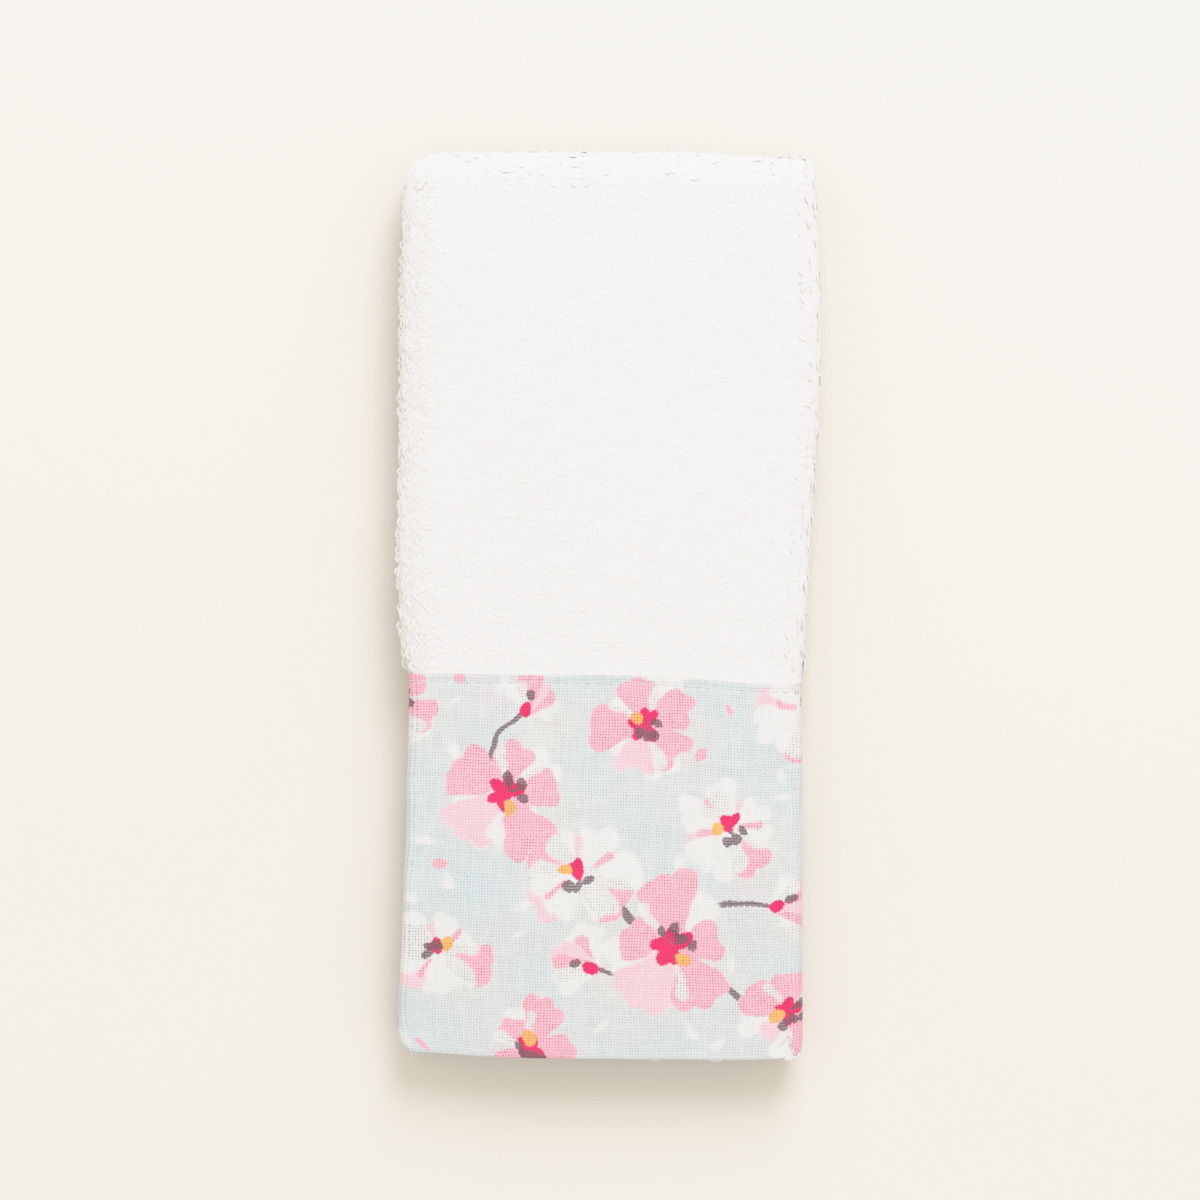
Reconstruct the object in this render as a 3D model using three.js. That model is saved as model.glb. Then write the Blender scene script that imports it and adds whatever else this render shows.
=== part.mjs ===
// A guest-size hand towel of white terry with a printed cotton band sewn across one end.
// It is folded in three along its length, then in half, and lies flat with the band on top.
// Millimetres. +X runs across the folded towel, +Y from the band's end to the half fold, +Z up.
import * as THREE from "three";

// The cloth before folding
const clothWidth = 320;
const clothLength = 500;
const bandHeight = 103.2;
const hemHeight = 12;
const selvedgeWidth = 2.5;

// How far the cloth reaches from the middle of its ground weave
const frontPile = 1.6;
const backPile = 1.2;
const hemReach = 0.9;
const selvedgeShare = 0.6;
const seatUnderBand = 0;
const seamRise = 1.2;

// The band lies a hair off the towel's bare ground
const bandGap = 0.4;
const bandThick = 1;
const bandOverhang = 0.5;

// Heights of the ground weave over the middle of the folded towel
const layerGap = 0.35;
const turnedHeight = layerGap / 2 + frontPile;
const tuckedHeight = turnedHeight + backPile + layerGap + frontPile;
const faceHeight = tuckedHeight + 2 * backPile + layerGap;
const middleHeight = faceHeight + frontPile;

// The side folds: one joins the face to the tucked flap, the other wraps round that flap
const faceWidth = 101.7;
const tuckShort = 0.5;
const leftRadius = (faceHeight - tuckedHeight) / 2;
const rightRadius = (faceHeight - turnedHeight) / 2;
const foldedWidth = faceWidth + leftRadius + rightRadius + 2 * frontPile;
const leftAxis = -foldedWidth / 2 + leftRadius + frontPile;
const rightAxis = leftAxis + faceWidth;
const tuckedLength = faceWidth - tuckShort;
const turnedLength = clothWidth - tuckedLength - faceWidth - Math.PI * (leftRadius + rightRadius);

// The half fold, with the cloth's length shared evenly above and below it
const bendLength = Math.PI * faceHeight;
const halfLength = (clothLength - bendLength) / 2;
const upperTerryLength = halfLength - bandHeight - seamRise;
const lowerTerryLength = halfLength - hemHeight - seamRise;
const foldedLength = bandOverhang + halfLength + middleHeight;
const bendAxis = foldedLength / 2 - middleHeight;
const flapSetback = 1.6;

// The section across the towel, from the tucked flap's selvedge to the turned flap's.
// turn is how far the run bends, in radians, and steps is how many facets it gets.
const sectionRuns = [
  { run: "tucked selvedge", length: selvedgeWidth, turn: 0, steps: 1 },
  { run: "tucked flap", length: tuckedLength - selvedgeWidth, turn: 0, steps: 7 },
  { run: "left fold", length: Math.PI * leftRadius, turn: -Math.PI, steps: 6 },
  { run: "face", length: faceWidth, turn: 0, steps: 14 },
  { run: "right fold", length: Math.PI * rightRadius, turn: -Math.PI, steps: 8 },
  { run: "turned flap", length: turnedLength - selvedgeWidth, turn: 0, steps: 7 },
  { run: "turned selvedge", length: selvedgeWidth, turn: 0, steps: 1 },
];

// Stretches along the cloth from the band's end, each with its own thickness and facets
const lengthRuns = [
  { run: "under the band", length: bandHeight, steps: 8, front: seatUnderBand, back: backPile },
  { run: "rise at the seam", length: seamRise, steps: 1, front: frontPile, back: backPile },
  { run: "upper terry", length: upperTerryLength, steps: 10, front: frontPile, back: backPile },
  { run: "half fold", length: bendLength, steps: 10, front: frontPile, back: backPile },
  { run: "lower terry", length: lowerTerryLength, steps: 12, front: frontPile, back: backPile },
  { run: "fall to the hem", length: seamRise, steps: 1, front: hemReach, back: hemReach },
  { run: "hem", length: hemHeight, steps: 1, front: hemReach, back: hemReach },
];

// The outline from above, as uneven as the real towel lies: the upper half's two sides, and
// those of the half beneath it, which stays within them
const sideRows = [
  { y: -123.9, left: -56.2, right: 52.3, underLeft: -54.6, underRight: 51.2 },
  { y: -119, left: -57.9, right: 53, underLeft: -55.6, underRight: 51.9 },
  { y: -97, left: -57.2, right: 52.8, underLeft: -55.7, underRight: 52 },
  { y: -70, left: -56.1, right: 52.9, underLeft: -55.1, underRight: 52.1 },
  { y: -43, left: -55.4, right: 52.8, underLeft: -54.8, underRight: 52.2 },
  { y: -21, left: -55, right: 52.7, underLeft: -54.7, underRight: 52.4 },
  { y: -14, left: -56.8, right: 53.4, underLeft: -55.2, underRight: 52.7 },
  { y: 6, left: -57.9, right: 54.4, underLeft: -56.8, underRight: 53.9 },
  { y: 28, left: -57.7, right: 55.8, underLeft: -57.2, underRight: 55.4 },
  { y: 55, left: -57.5, right: 57.5, underLeft: -57.2, underRight: 57 },
  { y: 82, left: -57, right: 57.9, underLeft: -56.8, underRight: 57.5 },
  { y: 101, left: -56.5, right: 57.2, underLeft: -56.4, underRight: 57 },
  { y: 114, left: -56, right: 56.8, underLeft: -56, underRight: 56.8 },
  { y: 119, left: -54.6, right: 56.7, underLeft: -54.6, underRight: 56.7 },
  { y: 122, left: -52, right: 56.4, underLeft: -52, underRight: 56.4 },
  { y: 123.9, left: -49, right: 55.6, underLeft: -49, underRight: 55.6 },
];
const endRows = [
  { x: -57.9, bottom: -121.5, top: 123 },
  { x: -46, bottom: -122.2, top: 123.7 },
  { x: -30, bottom: -123.1, top: 123.9 },
  { x: 0, bottom: -123.6, top: 123.9 },
  { x: 24, bottom: -123.8, top: 123.7 },
  { x: 38, bottom: -123.9, top: 122.8 },
  { x: 48, bottom: -123.4, top: 122.6 },
  { x: 57.9, bottom: -122.2, top: 122.9 },
];

// How high the towel stands along its length, as a share of its layers' full height
const heightRows = [
  { y: -123.9, share: 0.9 },
  { y: -90, share: 0.93 },
  { y: -40, share: 0.95 },
  { y: -18, share: 0.97 },
  { y: 10, share: 1.01 },
  { y: 60, share: 1 },
  { y: 105, share: 1.02 },
  { y: 123.9, share: 0.97 },
];
const edgeDrop = 0.06;
const edgeDropPower = 4;
const waves = [
  { share: 0.012, acrossLength: 95, alongLength: 154, start: 0.4 },
  { share: 0.008, acrossLength: -59, alongLength: 91, start: 2.1 },
];

// The seam between band and terry runs a little aslant over the face
const seamRows = [
  { x: -57.9, height: 103.2 },
  { x: 0, height: 103.6 },
  { x: 25, height: 102.7 },
  { x: 57.9, height: 101.2 },
];

// A column of a table at a place between its rows, on a smooth curve through them
function readTable(rows, key, column, at) {
  const last = rows.length - 1;
  if (at <= rows[0][key]) return rows[0][column];
  if (at >= rows[last][key]) return rows[last][column];
  let i = 0;
  while (rows[i + 1][key] < at) i += 1;
  const slope = (a, b) => (rows[b][column] - rows[a][column]) / (rows[b][key] - rows[a][key]);
  const span = rows[i + 1][key] - rows[i][key];
  const t = (at - rows[i][key]) / span;
  const startSlope = slope(Math.max(i - 1, 0), i + 1) * span;
  const endSlope = slope(i, Math.min(i + 2, last)) * span;
  const rise = rows[i + 1][column] - rows[i][column];
  const bend = t * (1 - t);
  return rows[i][column] + rise * t * t * (3 - 2 * t) + bend * (startSlope * (1 - t) - endSlope * t);
}

// Stations along a table of runs, each with its run and its distance from the start
function stationsOf(runs) {
  const stations = [{ distance: 0, index: 0 }];
  let start = 0;
  runs.forEach((run, index) => {
    for (let step = 1; step <= run.steps; step += 1) {
      stations.push({ distance: start + (run.length * step) / run.steps, index });
    }
    start += run.length;
  });
  return stations;
}

// The ground weave in the section at each station: its place and the heading of the walk
function walkSection(stations) {
  let x = rightAxis - tuckShort;
  let height = tuckedHeight;
  let heading = Math.PI;
  return stations.map((station, i) => {
    if (i > 0) {
      const run = sectionRuns[station.index];
      const turn = run.turn / run.steps;
      const arc = run.length / run.steps;
      const chord = turn === 0 ? arc : (2 * arc * Math.sin(turn / 2)) / turn;
      x += chord * Math.cos(heading + turn / 2);
      height += chord * Math.sin(heading + turn / 2);
      heading += turn;
    }
    return { ...station, x, height, front: heading + Math.PI / 2 };
  });
}

// The place of a distance along the cloth, measured at the face, once it is folded in half
function halfFold(along) {
  if (along <= halfLength) return { y: bendAxis - halfLength + along, turn: 0 };
  const past = along - halfLength;
  if (past < bendLength) return { y: bendAxis, turn: (past / bendLength) * Math.PI };
  return { y: bendAxis - (past - bendLength), turn: Math.PI };
}

// The straight, even fold shaped to the outline, height and setback of the real towel.
// turn is how far the place has gone round the half fold, in radians.
function settle(x, y, z, height, turn) {
  const inside = (faceHeight - Math.min(height, faceHeight)) / faceHeight;
  const setY = y + flapSetback * inside * ((bendAxis - Math.min(y, bendAxis)) / halfLength);
  const underShare = (1 - Math.cos(turn)) / 2;
  const sideAt = (upper, under) => {
    const upperSide = readTable(sideRows, "y", upper, setY);
    return upperSide + underShare * (readTable(sideRows, "y", under, setY) - upperSide);
  };
  const left = sideAt("left", "underLeft");
  const right = sideAt("right", "underRight");
  const settledX = left + (x / foldedWidth + 0.5) * (right - left);
  const bottom = readTable(endRows, "x", "bottom", settledX);
  const top = readTable(endRows, "x", "top", settledX);
  const settledY = bottom + (setY / foldedLength + 0.5) * (top - bottom);
  let share = readTable(heightRows, "y", "share", settledY);
  share *= 1 - edgeDrop * ((2 * x) / foldedWidth) ** edgeDropPower;
  for (const wave of waves) {
    const phase = 2 * Math.PI * (x / wave.acrossLength + y / wave.alongLength) + wave.start;
    share += wave.share * Math.sin(phase);
  }
  return new THREE.Vector3(settledX, settledY, z * share);
}

// A point of the folded cloth: a section station, a distance along, and a reach off the ground.
// The underside is the flat face that the towel rests on, so its rounding error is taken out.
const roundingError = 1e-9;
function foldedPoint(station, along, reach) {
  const x = station.x + reach * Math.cos(station.front);
  const height = station.height + reach * Math.sin(station.front);
  const { y, turn } = halfFold(along);
  const z = middleHeight + height * Math.cos(turn);
  const level = Math.abs(z) < roundingError ? 0 : z;
  return settle(x, y + height * Math.sin(turn), level, height, turn);
}

// Distances along the cloth stretch or shrink so that a station on the seam stays on it
function slantToSeam(distance, x) {
  const seam = readTable(seamRows, "x", "height", x);
  if (distance <= bandHeight) return (distance * seam) / bandHeight;
  if (distance >= halfLength) return distance;
  const share = (distance - bandHeight) / (halfLength - bandHeight);
  return seam + share * (halfLength - seam);
}

// A closed sheet from two grids of points, front and back, with walls round its rim
function sheetGeometry(columns, rows, frontAt, backAt) {
  const positions = [];
  const indices = [];
  for (const at of [frontAt, backAt]) {
    for (let i = 0; i < columns; i += 1) {
      for (let j = 0; j < rows; j += 1) positions.push(...at(i, j).toArray());
    }
  }
  const front = (i, j) => i * rows + j;
  const back = (i, j) => (columns + i) * rows + j;
  const quad = (a, b, c, d) => indices.push(a, b, c, a, c, d);
  for (let i = 0; i < columns - 1; i += 1) {
    for (let j = 0; j < rows - 1; j += 1) {
      quad(front(i, j), front(i + 1, j), front(i + 1, j + 1), front(i, j + 1));
      quad(back(i, j), back(i, j + 1), back(i + 1, j + 1), back(i + 1, j));
    }
  }
  for (let i = 0; i < columns - 1; i += 1) {
    quad(front(i, 0), back(i, 0), back(i + 1, 0), front(i + 1, 0));
    quad(front(i, rows - 1), front(i + 1, rows - 1), back(i + 1, rows - 1), back(i, rows - 1));
  }
  for (let j = 0; j < rows - 1; j += 1) {
    quad(front(0, j), front(0, j + 1), back(0, j + 1), back(0, j));
    quad(front(columns - 1, j), back(columns - 1, j), back(columns - 1, j + 1), front(columns - 1, j + 1));
  }
  const geometry = new THREE.BufferGeometry();
  geometry.setAttribute("position", new THREE.Float32BufferAttribute(positions, 3));
  geometry.setIndex(indices);
  geometry.computeVertexNormals();
  return geometry;
}

const section = walkSection(stationsOf(sectionRuns));
const lengthStations = stationsOf(lengthRuns);

// The terry cloth: one sheet with pile on both sides, bare under the band and at its hem
function makeTerry() {
  const reachAt = (i, j, side) => {
    const rim = i === 0 || i === section.length - 1;
    return lengthRuns[lengthStations[j].index][side] * (rim ? selvedgeShare : 1);
  };
  const pointAt = (i, j, reach) => {
    const along = slantToSeam(lengthStations[j].distance, section[i].x);
    return foldedPoint(section[i], along, reach);
  };
  const geometry = sheetGeometry(
    section.length,
    lengthStations.length,
    (i, j) => pointAt(i, j, reachAt(i, j, "front")),
    (i, j) => pointAt(i, j, -reachAt(i, j, "back")),
  );
  const material = new THREE.MeshStandardMaterial({ color: 0xf5f3f0, roughness: 0.95, metalness: 0 });
  const mesh = new THREE.Mesh(geometry, material);
  mesh.name = "terry_towel";
  return mesh;
}

// The printed band: a flat strip over the bare ground that turns round both side folds with it
function makeBand() {
  const rows = lengthStations.filter((station) => station.index === 0);
  const distances = rows.map((station) => station.distance);
  distances[0] = -bandOverhang;
  const pointAt = (i, j, reach) => foldedPoint(section[i], slantToSeam(distances[j], section[i].x), reach);
  const under = seatUnderBand + bandGap;
  const geometry = sheetGeometry(
    section.length,
    distances.length,
    (i, j) => pointAt(i, j, under + bandThick),
    (i, j) => pointAt(i, j, under),
  );
  const material = new THREE.MeshStandardMaterial({ color: 0xdfe6e6, roughness: 0.85, metalness: 0 });
  const mesh = new THREE.Mesh(geometry, material);
  mesh.name = "print_band";
  return mesh;
}

const handTowel = new THREE.Group();
handTowel.add(makeTerry(), makeBand());

export default handTowel;
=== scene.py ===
# A guest towel of white terry with a printed cotton band, folded in three and then in half.
# Sizes in the dictionaries are millimetres; what goes to Blender is metres.
import math

import bpy
import numpy as np
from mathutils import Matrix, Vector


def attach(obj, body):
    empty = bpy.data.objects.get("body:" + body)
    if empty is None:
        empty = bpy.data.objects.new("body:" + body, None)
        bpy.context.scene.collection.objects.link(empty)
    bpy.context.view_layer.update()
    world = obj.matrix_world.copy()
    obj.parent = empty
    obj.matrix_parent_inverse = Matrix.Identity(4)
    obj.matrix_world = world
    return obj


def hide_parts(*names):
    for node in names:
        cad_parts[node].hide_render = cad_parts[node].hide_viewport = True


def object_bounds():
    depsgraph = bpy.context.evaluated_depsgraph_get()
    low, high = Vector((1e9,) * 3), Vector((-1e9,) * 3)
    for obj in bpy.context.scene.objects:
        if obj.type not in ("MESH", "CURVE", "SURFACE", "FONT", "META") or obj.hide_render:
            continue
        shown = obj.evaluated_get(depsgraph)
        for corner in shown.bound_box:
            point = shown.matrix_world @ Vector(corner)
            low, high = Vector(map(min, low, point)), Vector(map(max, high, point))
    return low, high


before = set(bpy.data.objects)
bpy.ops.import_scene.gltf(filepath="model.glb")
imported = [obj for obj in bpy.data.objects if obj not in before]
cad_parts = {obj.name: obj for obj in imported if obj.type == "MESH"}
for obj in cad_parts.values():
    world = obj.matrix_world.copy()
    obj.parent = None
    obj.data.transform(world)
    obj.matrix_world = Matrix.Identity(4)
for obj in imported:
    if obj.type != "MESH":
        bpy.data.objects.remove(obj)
cadLow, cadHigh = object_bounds()
print("frame loaded")

millimetre = 0.001

# the cloth and how it is folded, with the sizes of the solids underneath
cloth = {
    "width": 320,
    "length": 500,
    "bandHeight": 103.2,
    "bandOverhang": 0.5,
    "hemHeight": 12,
    "frontPile": 1.6,
    "backPile": 1.2,
    "layerGap": 0.35,
    "faceWidth": 101.7,
    "tuckShort": 0.5,
    "flapSetback": 1.6,
    "edgeDrop": 0.06,
    "edgeDropPower": 4,
}

turnedHeight = cloth["layerGap"] / 2 + cloth["frontPile"]
tuckedHeight = turnedHeight + cloth["backPile"] + cloth["layerGap"] + cloth["frontPile"]
faceHeight = tuckedHeight + 2 * cloth["backPile"] + cloth["layerGap"]
middleHeight = faceHeight + cloth["frontPile"]
leftRadius = (faceHeight - tuckedHeight) / 2
rightRadius = (faceHeight - turnedHeight) / 2
foldedWidth = cloth["faceWidth"] + leftRadius + rightRadius + 2 * cloth["frontPile"]
leftAxis = leftRadius + cloth["frontPile"] - foldedWidth / 2
rightAxis = leftAxis + cloth["faceWidth"]
bendLength = math.pi * faceHeight
halfLength = (cloth["length"] - bendLength) / 2
foldedLength = cloth["bandOverhang"] + halfLength + middleHeight
bendAxis = foldedLength / 2 - middleHeight

# distances across the cloth where each part of the section starts or ends
tuckedEnd = cloth["faceWidth"] - cloth["tuckShort"]
faceStart = tuckedEnd + math.pi * leftRadius
faceEnd = faceStart + cloth["faceWidth"]
turnedStart = faceEnd + math.pi * rightRadius
hemStart = cloth["length"] - cloth["hemHeight"]  # along the cloth

# the folded towel's uneven outline, from its middle; "under" is that of its lower layers

sideRows = [
    {"y": -123.9, "left": -56.2, "right": 52.3, "underLeft": -54.6, "underRight": 51.2},
    {"y": -119, "left": -57.9, "right": 53, "underLeft": -55.6, "underRight": 51.9},
    {"y": -97, "left": -57.2, "right": 52.8, "underLeft": -55.7, "underRight": 52},
    {"y": -70, "left": -56.1, "right": 52.9, "underLeft": -55.1, "underRight": 52.1},
    {"y": -43, "left": -55.4, "right": 52.8, "underLeft": -54.8, "underRight": 52.2},
    {"y": -21, "left": -55, "right": 52.7, "underLeft": -54.7, "underRight": 52.4},
    {"y": -14, "left": -56.8, "right": 53.4, "underLeft": -55.2, "underRight": 52.7},
    {"y": 6, "left": -57.9, "right": 54.4, "underLeft": -56.8, "underRight": 53.9},
    {"y": 28, "left": -57.7, "right": 55.8, "underLeft": -57.2, "underRight": 55.4},
    {"y": 55, "left": -57.5, "right": 57.5, "underLeft": -57.2, "underRight": 57},
    {"y": 82, "left": -57, "right": 57.9, "underLeft": -56.8, "underRight": 57.5},
    {"y": 101, "left": -56.5, "right": 57.2, "underLeft": -56.4, "underRight": 57},
    {"y": 114, "left": -56, "right": 56.8, "underLeft": -56, "underRight": 56.8},
    {"y": 119, "left": -54.6, "right": 56.7, "underLeft": -54.6, "underRight": 56.7},
    {"y": 122, "left": -52, "right": 56.4, "underLeft": -52, "underRight": 56.4},
    {"y": 123.9, "left": -49, "right": 55.6, "underLeft": -49, "underRight": 55.6},
]
endRows = [
    {"x": -57.9, "bottom": -121.5, "top": 123},
    {"x": -46, "bottom": -122.2, "top": 123.7},
    {"x": -30, "bottom": -123.1, "top": 123.9},
    {"x": 0, "bottom": -123.6, "top": 123.9},
    {"x": 24, "bottom": -123.8, "top": 123.7},
    {"x": 38, "bottom": -123.9, "top": 122.8},
    {"x": 48, "bottom": -123.4, "top": 122.6},
    {"x": 57.9, "bottom": -122.2, "top": 122.9},
]
heightRows = [
    {"y": -123.9, "share": 0.9},
    {"y": -90, "share": 0.93},
    {"y": -40, "share": 0.95},
    {"y": -18, "share": 0.97},
    {"y": 10, "share": 1.01},
    {"y": 60, "share": 1},
    {"y": 105, "share": 1.02},
    {"y": 123.9, "share": 0.97},
]
seamRows = [
    {"x": -57.9, "height": 103.2},
    {"x": 0, "height": 103.6},
    {"x": 25, "height": 102.7},
    {"x": 57.9, "height": 101.2},
]
waves = [
    {"share": 0.012, "acrossLength": 95, "alongLength": 154, "start": 0.4},
    {"share": 0.008, "acrossLength": -59, "alongLength": 91, "start": 2.1},
]


def readTable(rows, key, column, at):
    # a smooth curve through a column of a table
    keys = np.array([row[key] for row in rows], float)
    values = np.array([row[column] for row in rows], float)
    last = len(rows) - 1
    at = np.clip(at, keys[0], keys[-1])
    i = np.clip(np.searchsorted(keys, at) - 1, 0, last - 1)
    before = np.maximum(i - 1, 0)
    after = np.minimum(i + 2, last)
    span = keys[i + 1] - keys[i]
    t = (at - keys[i]) / span
    startSlope = (values[i + 1] - values[before]) / (keys[i + 1] - keys[before]) * span
    endSlope = (values[after] - values[i]) / (keys[after] - keys[i]) * span
    rise = values[i + 1] - values[i]
    bend = t * (1 - t)
    return values[i] + rise * t * t * (3 - 2 * t) + bend * (startSlope * (1 - t) - endSlope * t)


def sectionAt(across):
    # place and outward direction of the ground weave in the section across the towel
    across = np.asarray(across, float)
    parts = [across < tuckedEnd, across < faceStart, across < faceEnd, across < turnedStart]
    leftTurn = 1.5 * math.pi - (across - tuckedEnd) / leftRadius
    rightTurn = 0.5 * math.pi - (across - faceEnd) / rightRadius
    front = np.select(
        parts, [1.5 * math.pi + 0 * across, leftTurn, 0.5 * math.pi + 0 * across, rightTurn], -0.5 * math.pi
    )
    x = np.select(
        parts,
        [
            rightAxis - cloth["tuckShort"] - across,
            leftAxis + leftRadius * np.cos(leftTurn),
            leftAxis + across - faceStart,
            rightAxis + rightRadius * np.cos(rightTurn),
        ],
        rightAxis - (across - turnedStart),
    )
    height = np.select(
        parts,
        [
            tuckedHeight + 0 * across,
            tuckedHeight + leftRadius + leftRadius * np.sin(leftTurn),
            faceHeight + 0 * across,
            faceHeight - rightRadius + rightRadius * np.sin(rightTurn),
        ],
        turnedHeight,
    )
    return x, height, front


def slantToSeam(along, x):
    # distances along the cloth shift a little so that the seam runs aslant
    seam = readTable(seamRows, "x", "height", x)
    below = along * seam / cloth["bandHeight"]
    share = (along - cloth["bandHeight"]) / (halfLength - cloth["bandHeight"])
    above = seam + share * (halfLength - seam)
    return np.where(along <= cloth["bandHeight"], below, np.where(along < halfLength, above, along))


def foldCloth(across, along, reach):
    # points of the folded cloth in metres, at a reach off its ground weave
    x, height, front = sectionAt(across)
    along = slantToSeam(along, x)
    x = x + reach * np.cos(front)
    height = height + reach * np.sin(front)
    past = np.clip(along - halfLength, 0, bendLength)
    turn = past / bendLength * math.pi
    y = bendAxis - np.abs(along - halfLength - past) + height * np.sin(turn)
    z = middleHeight + height * np.cos(turn)

    inside = np.clip(faceHeight - height, 0, None) / faceHeight
    setY = y + cloth["flapSetback"] * inside * np.clip(bendAxis - y, 0, None) / halfLength
    under = (1 - np.cos(turn)) / 2
    sides = []
    for upper, lower in (("left", "underLeft"), ("right", "underRight")):
        side = readTable(sideRows, "y", upper, setY) * (1 - under)
        sides.append(side + readTable(sideRows, "y", lower, setY) * under)
    left, right = sides
    settledX = left + (x / foldedWidth + 0.5) * (right - left)
    bottom = readTable(endRows, "x", "bottom", settledX)
    top = readTable(endRows, "x", "top", settledX)
    settledY = bottom + (setY / foldedLength + 0.5) * (top - bottom)
    share = readTable(heightRows, "y", "share", settledY)
    share = share * (1 - cloth["edgeDrop"] * (2 * x / foldedWidth) ** cloth["edgeDropPower"])
    for wave in waves:
        phase = 2 * math.pi * (x / wave["acrossLength"] + y / wave["alongLength"]) + wave["start"]
        share = share + wave["share"] * np.sin(phase)
    return np.stack([settledX, settledY, z * share], axis=-1) * millimetre


def stations(*stretches):
    # places along a line, from stretches of (start, end, step)
    places = []
    for start, end, step in stretches:
        count = max(1, round((end - start) / step))
        places += [start + (end - start) * i / count for i in range(count)]
    return np.array(places + [stretches[-1][1]])


unevenness = {"waves": 7, "shortest": 0.7, "longest": 1.8, "level": 3.2}


def ripple(u, v, size, seed):
    # soft unevenness between about -1 and 1, with lumps of the given size
    draws = np.random.default_rng(seed)
    total = np.zeros(np.broadcast(u, v).shape)
    for i in range(unevenness["waves"]):
        heading = draws.uniform(0, math.pi)
        length = size * draws.uniform(unevenness["shortest"], unevenness["longest"])
        phase = draws.uniform(0, 2 * math.pi)
        place = u * math.cos(heading) + v * math.sin(heading)
        total = total + np.sin(2 * math.pi * place / length + phase)
    return total / unevenness["level"]


def setUv(mesh, coordinates):
    layer = mesh.uv_layers.new(name="cloth")
    corners = np.zeros(len(mesh.loops), np.int32)
    mesh.loops.foreach_get("vertex_index", corners)
    layer.data.foreach_set("uv", coordinates[corners].astype(np.float32).ravel())


def addObject(name, mesh, material=None):
    piece = bpy.data.objects.new(name, mesh)
    bpy.context.scene.collection.objects.link(piece)
    if material:
        mesh.materials.append(material)
    return piece


def gridFaces(columns, rows, start=0, flipped=False):
    i, j = np.meshgrid(np.arange(columns - 1), np.arange(rows - 1), indexing="ij")
    a = start + i * rows + j
    b, c, d = a + rows, a + rows + 1, a + 1
    corners = (a, d, c, b) if flipped else (a, b, c, d)
    return np.stack(corners, axis=-1).reshape(-1, 4)


def rimFaces(front, back, picks):
    # one strip of faces between the rim of the fine grid and the rim of the sparse one
    faces = []
    for k in range(len(picks) - 1):
        fine = [front(n) for n in range(picks[k], picks[k + 1] + 1)]
        faces.append(fine + [back(k + 1), back(k)])
    return faces


def closedSheet(name, across, front, back, material, picks, fields=None):
    # front and back are (along, reach) pairs over the grid of columns and rows, the back
    # keeps only the picked columns and rows, and the fields go along as attributes
    columns, rows = front[0].shape
    grid = np.repeat(across[:, None], rows, axis=1)
    kept = np.ix_(*picks)
    backGrid, backSide = grid[kept], (back[0][kept], back[1][kept])
    points = [foldCloth(grid, *front).reshape(-1, 3), foldCloth(backGrid, *backSide).reshape(-1, 3)]
    flat = [np.stack([grid, front[0]], -1), np.stack([backGrid, backSide[0]], -1)]
    start = columns * rows
    width, height = len(picks[0]), len(picks[1])
    faces = gridFaces(columns, rows).tolist() + gridFaces(width, height, start, flipped=True).tolist()
    lastColumn, lastBack = (columns - 1) * rows, start + (width - 1) * height
    bottom = rimFaces(lambda n: n * rows, lambda k: start + k * height, picks[0])
    top = rimFaces(lambda n: n * rows + rows - 1, lambda k: start + k * height + height - 1, picks[0])
    left = rimFaces(lambda n: n, lambda k: start + k, picks[1])
    right = rimFaces(lambda n: lastColumn + n, lambda k: lastBack + k, picks[1])
    faces += [face[::-1] for face in bottom + right] + top + left
    mesh = bpy.data.meshes.new(name)
    mesh.from_pydata(np.concatenate(points).tolist(), [], faces)
    mesh.shade_smooth()
    setUv(mesh, np.concatenate([part.reshape(-1, 2) for part in flat]) * millimetre)
    for field, values in (fields or {}).items():
        both = np.concatenate([values.reshape(-1, 3), values[kept].reshape(-1, 3)])
        storeAttribute(mesh, field, "FLOAT_VECTOR", both)
    return addObject(name, mesh, material)


def thinOut(places, bends, step):
    # the places that the sparse side keeps: those in a bend, and the others a step apart
    picks = [0]
    for i in range(1, len(places) - 1):
        bent = any(start - 0.01 <= places[i] <= end + 0.01 for start, end in bends)
        if bent or places[i] - places[picks[-1]] >= step:
            picks.append(i)
    return picks + [len(places) - 1]


def storeAttribute(mesh, name, kind, values):
    attribute = mesh.attributes.new(name, kind, "POINT")
    part = "vector" if kind == "FLOAT_VECTOR" else "value"
    attribute.data.foreach_set(part, values.astype(np.float32).ravel())


def smoothStep(value, start, end):
    t = np.clip((value - start) / (end - start), 0, 1)
    return t * t * (3 - 2 * t)


# small helpers for node trees
def addNode(tree, kind, inputs=None, **settings):
    node = tree.nodes.new(kind)
    for key, value in settings.items():
        setattr(node, key, value)
    for key, value in (inputs or {}).items():
        if isinstance(value, bpy.types.NodeSocket):
            tree.links.new(value, node.inputs[key])
        else:
            node.inputs[key].default_value = value
    return node


def addMath(tree, operation, a, b=0.0, c=0.0):
    return addNode(tree, "ShaderNodeMath", {0: a, 1: b, 2: c}, operation=operation).outputs[0]


def scaleVector(tree, vector, scale):
    return addNode(tree, "ShaderNodeVectorMath", {0: vector, 3: scale}, operation="SCALE").outputs[0]


def addNoise(tree, place, size, detail=2.0, output="Fac"):
    inputs = {"Vector": place, "Scale": 1 / (size * millimetre), "Detail": detail}
    return addNode(tree, "ShaderNodeTexNoise", inputs).outputs[output]


def plainNoise(tree, place):
    # noise on a place that is already stretched to the size of its lumps
    inputs = {"Vector": place, "Scale": 1.0, "Detail": 1.0}
    return addNode(tree, "ShaderNodeTexNoise", inputs).outputs["Fac"]


def addRamp(tree, value, start, end, **settings):
    # 0 at the start and 1 at the end
    return addNode(tree, "ShaderNodeMapRange", {0: value, 1: start, 2: end}, **settings).outputs[0]


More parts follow.
